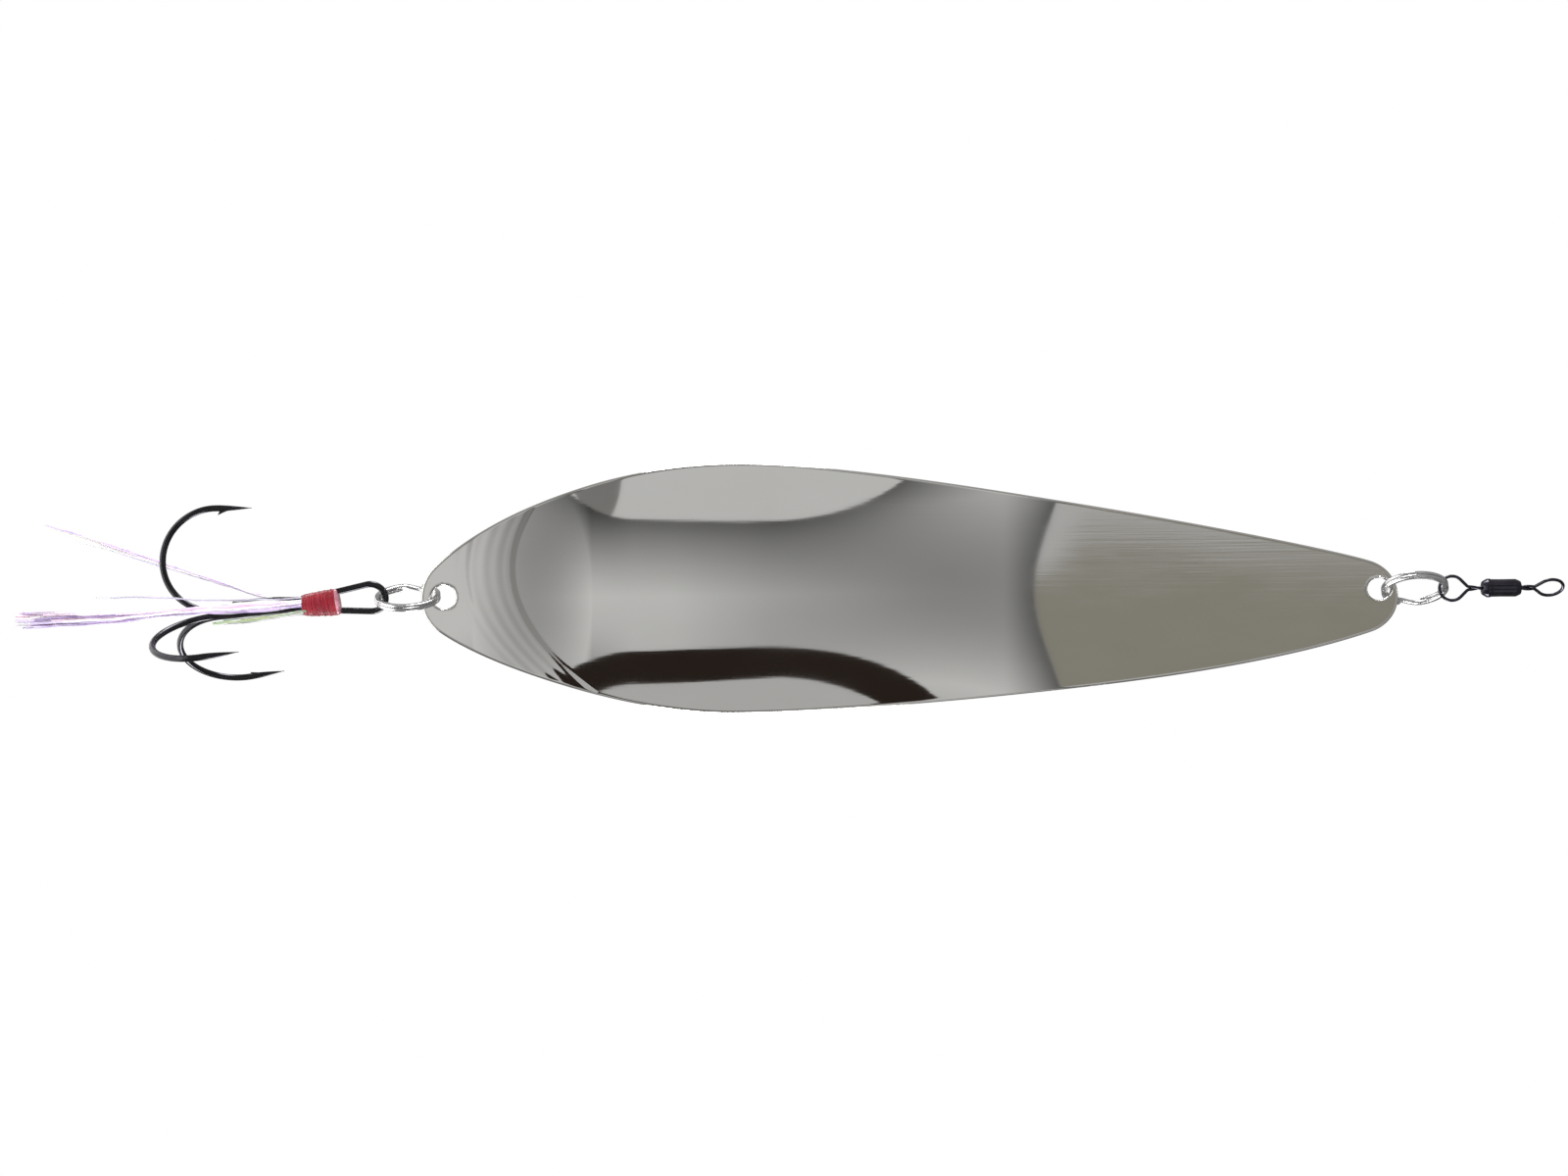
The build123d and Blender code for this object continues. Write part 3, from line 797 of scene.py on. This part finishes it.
def eye_run(middle):
    """Path up one leg, over the eye and down the other leg."""
    shank = SHANK_OFFSET * math.cos(math.radians(30))
    top_spread = HOOK_EYE_RADIUS * math.cos(LEG_ANGLE)
    top = HOOK_EYE_CENTRE - HOOK_EYE_RADIUS * math.sin(LEG_ANGLE)
    knee = top - (top_spread - shank) / math.tan(LEG_ANGLE)
    tangent = LEG_BEND_RADIUS * (1 - math.cos(LEG_ANGLE)) / math.sin(LEG_ANGLE)
    flat = []
    for turn in np.linspace(0, LEG_ANGLE, 8):
        spread = shank + LEG_BEND_RADIUS * (1 - math.cos(turn))
        flat.append((spread, knee - tangent + LEG_BEND_RADIUS * math.sin(turn)))
    flat += [(top_spread, top)]
    for turn in np.linspace(-LEG_ANGLE, math.pi / 2, 26)[1:]:
        flat.append((HOOK_EYE_RADIUS * math.cos(turn), HOOK_EYE_CENTRE + HOOK_EYE_RADIUS * math.sin(turn)))
    flat += [(-spread, height) for spread, height in flat[::-1][1:]]
    return np.array([leg_point(spread, height, middle) for spread, height in flat])


def resampled(path, radii, step):
    """A path and its radii with points an even step apart."""
    travel = np.concatenate(([0], np.cumsum(np.linalg.norm(np.diff(path, axis=0), axis=1))))
    keep = np.concatenate(([True], np.diff(travel) > 1e-6))
    path, radii, travel = path[keep], radii[keep], travel[keep]
    places = np.linspace(0, travel[-1], int(travel[-1] / step) + 1)
    points = np.column_stack([np.interp(places, travel, path[:, axis]) for axis in range(3)])
    return points, np.interp(places, travel, radii)


def double_wire_shell():
    """One wire with a hook at each end and the eye in its middle."""
    first, second = HOOK_AZIMUTHS[0], HOOK_AZIMUTHS[1]
    up, up_radii = hook_run(first)
    down, down_radii = hook_run(second)
    eye = eye_run((first + second) / 2)
    path = np.vstack((up, eye, down[::-1]))
    radii = np.concatenate((up_radii, np.full(len(eye), HOOK_WIRE / 2), down_radii[::-1]))
    path, radii = resampled(path, radii, 0.2)
    wire = sweep(path, circle_section(1.0, 20), radii)
    return merge((wire, barb_shell(first), barb_shell(second)))


def single_wire_shell():
    """The third hook, its shank ending inside the binding."""
    azimuth = HOOK_AZIMUTHS[2]
    run, radii = hook_run(azimuth)
    top = around(SHANK_OFFSET, azimuth, HOOK_TOP - (WRAP_START + WRAP_END) / 2)
    path = np.vstack((run, [top]))
    path, radii = resampled(path, np.append(radii, HOOK_WIRE / 2), 0.2)
    return merge((sweep(path, circle_section(1.0, 20), radii), barb_shell(azimuth)))


# ---- dressing ------------------------------------------------------------------------------
THREAD = 0.27
WRAP_TURNS = 22
CORE_END_GAP = 0.12
CORE_ROWS = 9
CORE_COLUMNS = 40
BEAD_ROWS = 9
BEAD_COLUMNS = 48


def oval_axes():
    """Unit directions of the binding's long and short half axes."""
    return around(1, WRAP_AZIMUTH, 0), around(1, WRAP_AZIMUTH + 90, 0)


def wrap_half_axes(share):
    """Half axes of the binding at a share of its length from the eye end."""
    bulge = 0.08 * math.sin(math.pi * share)
    long_half = WRAP_TOP[0] + (WRAP_BOTTOM[0] - WRAP_TOP[0]) * share
    short_half = WRAP_TOP[1] + (WRAP_BOTTOM[1] - WRAP_TOP[1]) * share
    return long_half + bulge - 0.05, short_half + bulge - 0.05


def wound_run(turns, start, end, inset, wander):
    """A thread's path round the binding from one share of its length to another."""
    long_axis, short_axis = oval_axes()
    count = int(abs(turns) * 44)
    phase = RANDOM.uniform(0, 2 * math.pi, 3)
    path = []
    for step in range(count + 1):
        share = step / count
        place = start + (end - start) * share
        long_half, short_half = wrap_half_axes(place)
        turn = 2 * math.pi * turns * share
        wobble = wander * math.sin(turn * 0.37 + phase[0]) + wander * 0.5 * math.sin(turn * 1.3 + phase[1])
        height = HOOK_TOP - WRAP_START - (WRAP_END - WRAP_START) * place + wobble
        long_part = long_axis * (long_half - inset) * math.cos(turn)
        point = long_part + short_axis * (short_half - inset) * math.sin(turn)
        path.append(point + np.array((0, 0, height)))
    return np.array(path)


def wrap_shell():
    """Wound turns over a core, and a few crossing turns on top where it was tied off."""
    section = circle_section(THREAD / 2, 8)
    main = wound_run(WRAP_TURNS, 0.03, 0.97, THREAD / 2 + 0.04, 0.025)
    over = wound_run(-4.3, 0.10, 0.88, THREAD / 2 - 0.03, 0.05)
    tie = wound_run(5.2, 0.62, 0.90, THREAD / 2 - 0.02, 0.04)
    long_axis, short_axis = oval_axes()
    turns = np.linspace(0, 2 * math.pi, CORE_COLUMNS, endpoint=False)
    core_length = WRAP_END - WRAP_START - 2 * CORE_END_GAP
    rings = []
    for share in np.linspace(0, 1, CORE_ROWS):
        long_half, short_half = wrap_half_axes(share)
        long_part = np.cos(turns)[:, None] * long_axis * (long_half - THREAD)
        short_part = np.sin(turns)[:, None] * short_axis * (short_half - THREAD)
        height = HOOK_TOP - WRAP_START - CORE_END_GAP - core_length * share
        rings.append(long_part + short_part + np.array((0, 0, height)))
    core = (np.vstack(rings), tube_faces(CORE_ROWS, CORE_COLUMNS))
    return merge([sweep(path, section) for path in (main, over, tie)] + [core])


def cement_shell():
    """A low rounded bead on the eye end of the binding."""
    long_axis, short_axis = oval_axes()
    turns = np.linspace(0, 2 * math.pi, BEAD_COLUMNS, endpoint=False)
    rings = []
    for angle in np.linspace(0, math.pi / 2 * 0.93, BEAD_ROWS):
        spread = CEMENT_SHARE * (0.62 + 0.38 * math.cos(angle))
        height = HOOK_TOP - WRAP_START + CEMENT_LENGTH * math.sin(angle)
        wave = 1 + 0.02 * np.sin(3 * turns + 0.7)
        long_part = (np.cos(turns) * wave)[:, None] * long_axis * WRAP_TOP[0] * spread
        short_part = (np.sin(turns) * wave)[:, None] * short_axis * WRAP_TOP[1] * spread
        rings.append(long_part + short_part + np.array((0, 0, height)))
    return np.vstack(rings), tube_faces(BEAD_ROWS, BEAD_COLUMNS)


HANKS = {
    "tinsel_tail": [
        (WRAP_END, 0.30, 1.05, 0.60, 0.25),
        (16.0, 0.30, 1.60, 0.75, 0.45),
        (22.0, 0.50, 1.65, 0.75, 0.45),
        (27.0, 0.85, 1.50, 0.60, 0.40),
        (32.5, 0.95, 0.90, 0.55, 0.40),
        (39.0, 1.05, 0.50, 0.80, 0.60),
        (46.0, 1.60, 0.20, 1.10, 0.90),
        (54.6, 2.30, 0.00, 1.40, 1.20),
    ],
    "tinsel_wisp": [
        (WRAP_END, 0.70, -0.88, 0.22, 0.18),
        (17.0, 1.50, -1.60, 0.30, 0.25),
        (24.0, 4.20, -2.90, 0.40, 0.30),
        (32.0, 7.60, -4.00, 0.60, 0.35),
        (41.5, 11.60, -5.00, 0.90, 0.45),
        (50.2, 15.00, -5.50, 1.30, 0.50),
    ],
    "tinsel_strand": [
        (WRAP_END, 1.10, 0.70, 0.05, 0.05),
        (20.0, 1.60, 1.00, 0.06, 0.06),
        (26.0, 2.20, 1.50, 0.08, 0.06),
        (32.0, 3.20, 1.70, 0.10, 0.06),
        (41.5, 4.20, 1.80, 0.12, 0.06),
    ],
    "tinsel_flash_green": [
        (WRAP_END, -0.85, 1.00, 0.22, 0.18),
        (17.5, -1.10, 1.35, 0.35, 0.25),
        (25.5, -1.20, 1.45, 0.30, 0.20),
    ],
    "tinsel_flash_white": [
        (WRAP_END, -1.30, -0.10, 0.18, 0.25),
        (17.5, -1.55, 0.05, 0.25, 0.40),
        (24.0, -1.65, 0.10, 0.20, 0.35),
    ],
    "tinsel_flash_black": [
        (WRAP_END, 1.20, -0.35, 0.10, 0.15),
        (17.5, 1.50, -0.45, 0.20, 0.22),
        (23.0, 1.60, -0.50, 0.20, 0.22),
    ],
}
LILAC = (0.64, 0.50, 0.78)
PINK = (0.82, 0.58, 0.74)
PEARL = (0.92, 0.93, 0.95)
MAUVE_DARK = (0.32, 0.22, 0.42)
GREEN = (0.36, 0.43, 0.30)
SILVER = (0.80, 0.81, 0.80)
INK = (0.03, 0.03, 0.035)
# strands, width, shortest share of the length, and colours with their odds
HANK_LOOKS = {
    "tinsel_tail": (64, 0.34, 0.80, ((LILAC, 6), (PINK, 5), (PEARL, 4), (MAUVE_DARK, 2), (SILVER, 2))),
    "tinsel_wisp": (16, 0.20, 0.70, ((PEARL, 4), (SILVER, 3), (LILAC, 4))),
    "tinsel_strand": (2, 0.24, 0.9, ((SILVER, 2), (LILAC, 1))),
    "tinsel_flash_green": (9, 0.26, 0.75, ((GREEN, 4), (PEARL, 1))),
    "tinsel_flash_white": (8, 0.24, 0.75, ((PEARL, 4), (SILVER, 1))),
    "tinsel_flash_black": (6, 0.24, 0.8, ((INK, 1),)),
}
STRAND_THICKNESS = 0.035


def hank_places(stations, distances):
    """Centre and half sizes of a hank at distances from the eye's top, curved through the stations."""
    table = np.array(stations)
    columns = []
    for column in range(1, 5):
        slopes = np.gradient(table[:, column], table[:, 0])
        columns.append(hermite(table[:, 0], table[:, column], slopes, distances))
    return columns


def hermite(knots, values, slopes, places):
    """A smooth curve through values at knots with given slopes."""
    index = np.clip(np.searchsorted(knots, places, side="right") - 1, 0, len(knots) - 2)
    span = knots[index + 1] - knots[index]
    t = np.clip((places - knots[index]) / span, 0, 1)
    first = (1 + 2 * t) * (1 - t) ** 2 * values[index] + t * (1 - t) ** 2 * span * slopes[index]
    second = t * t * (3 - 2 * t) * values[index + 1] - t * t * (1 - t) * span * slopes[index + 1]
    return first + second


def strand_shell(stations, width, shortest):
    """One flat strand that wanders within its hank and twists slowly."""
    start, full = stations[0][0], stations[-1][0]
    end = start + (full - start) * RANDOM.uniform(shortest, 1.0)
    distances = np.linspace(start - 0.8, end, max(int((end - start) / 0.45), 8))
    up, near, half_up, half_near = hank_places(stations, distances)
    share = (distances - start) / (full - start)
    turn = RANDOM.uniform(0, 2 * math.pi) + RANDOM.normal(0, 0.9) * share
    reach = math.sqrt(RANDOM.uniform(0.02, 1.0)) * (1 + RANDOM.normal(0, 0.10) * share)
    inner_up = np.maximum(half_up - width / 2, 0.03)
    inner_near = np.maximum(half_near - width / 3, 0.03)
    wave = 0.05 * np.sin(distances * RANDOM.uniform(0.5, 1.1) + RANDOM.uniform(0, 6.3))
    x = -(up + inner_up * reach * np.cos(turn) + wave)
    y = -(near + inner_near * reach * np.sin(turn) + wave * 0.5)
    path = np.column_stack((x, y, HOOK_TOP - distances))
    twist = RANDOM.uniform(0, math.pi) + np.cumsum(RANDOM.normal(0, 0.14, len(path))) + 1.2 * share
    ups = np.column_stack((np.sin(twist), -np.cos(twist), np.zeros(len(path))))
    slim = width * RANDOM.uniform(0.7, 1.1) / 2
    thin = STRAND_THICKNESS / 2
    section = np.array(((slim, -thin), (slim, thin), (-slim, thin), (-slim, -thin)))
    return sweep(path, section, ups=ups)


def hank_piece(name, material):
    """All the strands of a hank as one piece, each with its own colour."""
    count, width, shortest, palette = HANK_LOOKS[name]
    odds = np.array([weight for _colour, weight in palette], float)
    shells, colours = [], []
    for _ in range(count):
        shell = strand_shell(HANKS[name], width, shortest)
        base = np.array(palette[RANDOM.choice(len(palette), p=odds / odds.sum())][0])
        base = np.clip(base * RANDOM.uniform(0.75, 1.2) + RANDOM.normal(0, 0.03, 3), 0.01, 0.95)
        shells.append(shell)
        colours.append(np.repeat([[*base, 1.0]], len(shell[0]), 0))
    piece = add_piece(name + "_strands", merge(shells), leaned, material, "treble", (name,), sharp=35)
    layer = piece.data.color_attributes.new("strand_colour", "FLOAT_COLOR", "POINT")
    layer.data.foreach_set("color", np.vstack(colours).ravel())
    return piece


# ---- building the pieces -------------------------------------------------------------------
# faces that meet at a larger angle than this, in degrees, keep a sharp edge
BARREL_EDGE = 45
WIRE_EDGE = 50
HOOK_EDGE = 55
THREAD_EDGE = 60


def build_swivel():
    plate = black_nickel("swivel_black", (0.035, 0.033, 0.042), (0.10, 0.095, 0.12), 0.24)
    turn = math.radians(FRONT_EYE_TURN)
    cosine, sine = math.cos(turn), math.sin(turn)

    def front(points):
        turned = points @ np.array(((cosine, sine, 0), (-sine, cosine, 0), (0, 0, 1)))
        return upright(turned)

    def rear(points):
        return upright(points * (-1, 1, -1) + (0, 0, REAR_EYE_CENTRE))

    for name, shell, place, body, stands_for, sharp in (
        ("line_eye_wire", eye_shell(), front, "line_eye", "swivel_front_eye", WIRE_EDGE),
        ("lure_eye_wire", eye_shell(), rear, "lure_eye", "swivel_rear_eye", WIRE_EDGE),
        ("barrel_shell", barrel_shell(), upright, "barrel", "swivel_barrel", BARREL_EDGE),
    ):
        add_piece(name, shell, place, plate, body, (stands_for,), sharp)


def build_rings():
    steel = steel_material()
    for body, centre, turn, place in (
        ("front_ring", FRONT_RING_CENTRE, FRONT_RING_TURN, upright),
        ("rear_ring", REAR_RING_CENTRE, REAR_RING_TURN, hung),
    ):
        stand = ring_place(centre, turn, place)
        stands_for = (body.replace("ring", "split_ring"),)
        add_piece(body + "_wire", ring_shell(), stand, steel, body, stands_for, WIRE_EDGE)


def build_blade():
    add_piece("blade_sheet", blade_shell(), hung, blade_material(), "spoon", ("blade",))


def build_treble():
    black = black_nickel("hook_black", (0.03, 0.03, 0.036), (0.085, 0.082, 0.09), 0.2)
    braze = black_nickel("braze", (0.04, 0.036, 0.04), (0.09, 0.08, 0.08), 0.35)
    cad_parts["hook_braze"].data.materials.clear()
    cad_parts["hook_braze"].data.materials.append(braze)
    for name, shell, material, slot, stands_for, sharp in (
        ("double_hook_wire", double_wire_shell(), black, "hook_black", "hook_double_wire", HOOK_EDGE),
        ("single_hook_wire", single_wire_shell(), black, "hook_black", "hook_single_wire", HOOK_EDGE),
        ("thread_turns", wrap_shell(), thread_material(), "red_thread", "thread_wrap", THREAD_EDGE),
        ("cement_bead", cement_shell(), cement_material(), "clear_cement", "thread_cement", None),
    ):
        add_piece(name, shell, leaned, material, "treble", (stands_for,), sharp)


def build_tinsel():
    lilac = tinsel_material("tinsel_lilac", 0.28, 360)
    pale = tinsel_material("tinsel_pale", 0.32, 300)
    green = tinsel_material("tinsel_green", 0.30, 480)
    dark = tinsel_material("tinsel_dark", 0.25, 200)
    for name, material, slot in (
        ("tinsel_tail", lilac, "tinsel_lilac"),
        ("tinsel_wisp", pale, "tinsel_pale"),
        ("tinsel_strand", pale, "tinsel_pale"),
        ("tinsel_flash_green", green, "tinsel_green"),
        ("tinsel_flash_white", pale, "tinsel_pale"),
        ("tinsel_flash_black", dark, "tinsel_dark"),
    ):
        hank_piece(name, material)


# ---- studio --------------------------------------------------------------------------------
CAMERA_AT = (-0.88, -313.5, -109.7)
CAMERA_ROLL = math.radians(0.5)
LENS = 50.0
BOARD_DISTANCE = -600.0


def build_camera():
    """Looks square at the blade's hollow side, with the hook end to the left."""
    right = np.array((0.0, 0.0, 1.0))
    up = np.array((-1.0, 0.0, 0.0))
    turned_right = right * math.cos(CAMERA_ROLL) - up * math.sin(CAMERA_ROLL)
    turned_up = up * math.cos(CAMERA_ROLL) + right * math.sin(CAMERA_ROLL)
    back = np.array((0.0, -1.0, 0.0))
    origin = hung([CAMERA_AT])[0]
    axes = [hung([np.array(CAMERA_AT) + axis])[0] - origin for axis in (turned_right, turned_up, back)]
    matrix = Matrix.Identity(4)
    for column, axis in enumerate(axes):
        direction = Vector(axis).normalized()
        for row in range(3):
            matrix[row][column] = direction[row]
    matrix.translation = Vector(origin)
    data = bpy.data.cameras.new("camera")
    data.lens = LENS
    data.clip_start, data.clip_end = 0.01, 20.0
    camera = bpy.data.objects.new("camera", data)
    camera.matrix_world = matrix
    bpy.context.scene.collection.objects.link(camera)
    bpy.context.scene.camera = camera


def ramp_of(material, place, axis, stops):
    """A value along one axis of the laid lure, in metres, through (millimetre, value) stops."""
    split = node(material, "SeparateXYZ", inputs={"Vector": place.outputs["Object"]})
    first, last = stops[0][0], stops[-1][0]
    share = node(
        material,
        "MapRange",
        inputs={"Value": split.outputs[axis], "From Min": first * MM, "From Max": last * MM},
    )
    ramp = node(material, "ValToRGB", inputs={"Fac": share.outputs["Result"]})
    elements = ramp.color_ramp.elements
    while len(elements) < len(stops):
        elements.new(0.5)
    for element, (where, value) in zip(elements, stops):
        element.position = (where - first) / (last - first)
        element.color = (value, value, value, 1.0)
    return ramp.outputs["Color"]


def board_material(name, colour, across, along):
    """A softly glowing board; its strength is one ramp across the lure times one along it."""
    material = bpy.data.materials.new(name)
    material.use_nodes = True
    material.node_tree.nodes.clear()
    place = node(material, "TexCoord")
    first = ramp_of(material, place, "X", across)
    second = ramp_of(material, place, "Z", along)
    strength = node(material, "Math", {"operation": "MULTIPLY"}, {0: first, 1: second})
    glow = node(material, "Emission", inputs={"Strength": strength.outputs[0]})
    glow.inputs["Color"].default_value = (*colour, 1.0)
    node(material, "OutputMaterial", inputs={"Surface": glow.outputs[0]})
    return material


def add_board(name, outline, colour, across, along, layer):
    """A studio board facing the lure, its outline as (X, distance along from mid-lure) points."""
    middle = CAMERA_AT[2]
    corners = [(x * MM, (BOARD_DISTANCE + layer) * MM, (middle + z) * MM) for x, z in outline]
    mesh = bpy.data.meshes.new(name)
    mesh.from_pydata(corners, [], [list(range(len(corners)))])
    along = [(middle + z, value) for z, value in along]
    mesh.materials.append(board_material(name, colour, across, along))
    board = bpy.data.objects.new(name, mesh)
    board.matrix_world = hung_matrix()
    board.visible_camera = False
    board.visible_shadow = False
    bpy.context.scene.collection.objects.link(board)


def hung_matrix():
    """The blade's hang as a matrix in metres."""
    pivot = Matrix.Translation((0, 0, FRONT_PIVOT * MM))
    return pivot @ Matrix.Rotation(-HANG, 4, "X") @ pivot.inverted()


def box(x0, x1, z0, z1):
    """A rectangular board."""
    return ((x0, z0), (x1, z0), (x1, z1), (x0, z1))


GREY = (1.0, 1.0, 1.0)
WARM_GREY = (1.0, 0.96, 0.82)
DARK_BROWN = (1.0, 0.7, 0.55)
EVEN = ((-1000, 1.0), (1000, 1.0))
# name, outline, colour, strength across, strength along, layer in front of the first board
BOARDS = (
    (
        "soft_box",
        box(-300, 350, 0, 400),
        GREY,
        ((-300, 0.9), (0, 1.0), (350, 0.2)),
        ((0, 0.1), (130, 0.6), (400, 0.3)),
        0,
    ),
    ("side_board", box(350, 1000, 80, 400), GREY, ((350, 0.55), (1000, 0.55)), EVEN, 4),
    ("low_board", box(-1000, -400, 0, 400), GREY, ((-1000, 0.45), (-400, 0.45)), EVEN, 4),
    ("dark_board", box(-400, -240, 0, 400), DARK_BROWN, ((-400, 0.02), (-240, 0.02)), EVEN, 4),
    ("light_board", box(10, 350, -320, 0), GREY, ((10, 0.45), (350, 0.45)), EVEN, 4),
    ("warm_board", box(-300, 10, -320, 0), WARM_GREY, ((-300, 0.25), (10, 0.25)), EVEN, 4),
)


def build_world():
    """Pale surroundings: white to the camera, soft grey in reflections, darker low down."""
    world = bpy.data.worlds.new("studio")
    world.use_nodes = True
    world.node_tree.nodes.clear()
    place = node(world, "TexCoord")
    split = node(world, "SeparateXYZ", inputs={0: place.outputs["Generated"]})
    across = {"Value": split.outputs["X"], "From Min": -1.0, "From Max": 1.0, "To Min": 0.34, "To Max": 0.16}
    strength = node(world, "MapRange", inputs=across).outputs["Result"]
    soft = node(world, "Background", inputs={"Color": (1.0, 0.98, 0.96, 1.0), "Strength": strength})
    white = node(world, "Background", inputs={"Color": (1.0, 1.0, 1.0, 1.0)})
    path = node(world, "LightPath")
    seen = {0: path.outputs["Is Camera Ray"], 1: soft.outputs[0], 2: white.outputs[0]}
    mix = node(world, "MixShader", inputs=seen)
    node(world, "OutputWorld", inputs={"Surface": mix.outputs[0]})
    bpy.context.scene.world = world


def add_area(name, location, aim, size, power, mirrored=False):
    """A square soft light aimed at a point, millimetres; polished parts show it only if mirrored."""
    data = bpy.data.lights.new(name, "AREA")
    data.size = size * MM
    data.energy = power
    lamp = bpy.data.objects.new(name, data)
    start, target = Vector(hung([location])[0]), Vector(hung([aim])[0])
    lamp.location = start
    lamp.rotation_mode = "QUATERNION"
    lamp.rotation_quaternion = (target - start).to_track_quat("-Z", "Y")
    lamp.visible_glossy = mirrored
    bpy.context.scene.collection.objects.link(lamp)


def build_floor():
    """A pale round table under the hanging lure."""
    profile = [(0.001, -342), (236, -342), (240, -338), (240, -334), (236, -330), (0.001, -330)]
    points, faces = lathe(softened(profile, 3), 96)
    mesh = bpy.data.meshes.new("floor")
    mesh.from_pydata(upright(points + (0, -40, 0)).tolist(), [], faces)
    mesh.shade_smooth()
    mesh.set_sharp_from_angle(angle=math.radians(40))
    material, _shader = new_material("pale_floor", Base_Color=(0.86, 0.86, 0.85), Roughness=0.7)
    floor = bpy.data.objects.new("floor", mesh)
    mesh.materials.append(material)
    bpy.context.scene.collection.objects.link(floor)


def build_studio():
    build_world()
    build_floor()
    for name, outline, colour, across, along, layer in BOARDS:
        add_board(name, outline, colour, across, along, layer)
    add_area("key", (-320, -420, -60), (0, 0, -120), 260, 4.2)
    add_area("fill", (380, -300, -200), (0, 0, -150), 320, 2.4)
    add_area("side_low", (420, 90, -110), (0, 0, -110), 180, 1.6, mirrored=True)
    add_area("side_high", (-420, 90, -110), (0, 0, -110), 180, 1.6, mirrored=True)
    add_area("back", (-100, 420, -60), (0, 0, -110), 300, 1.4)
    bpy.context.scene.view_settings.view_transform = "Standard"


build_camera()
build_studio()
build_blade()
build_rings()
build_swivel()
build_treble()
build_tinsel()
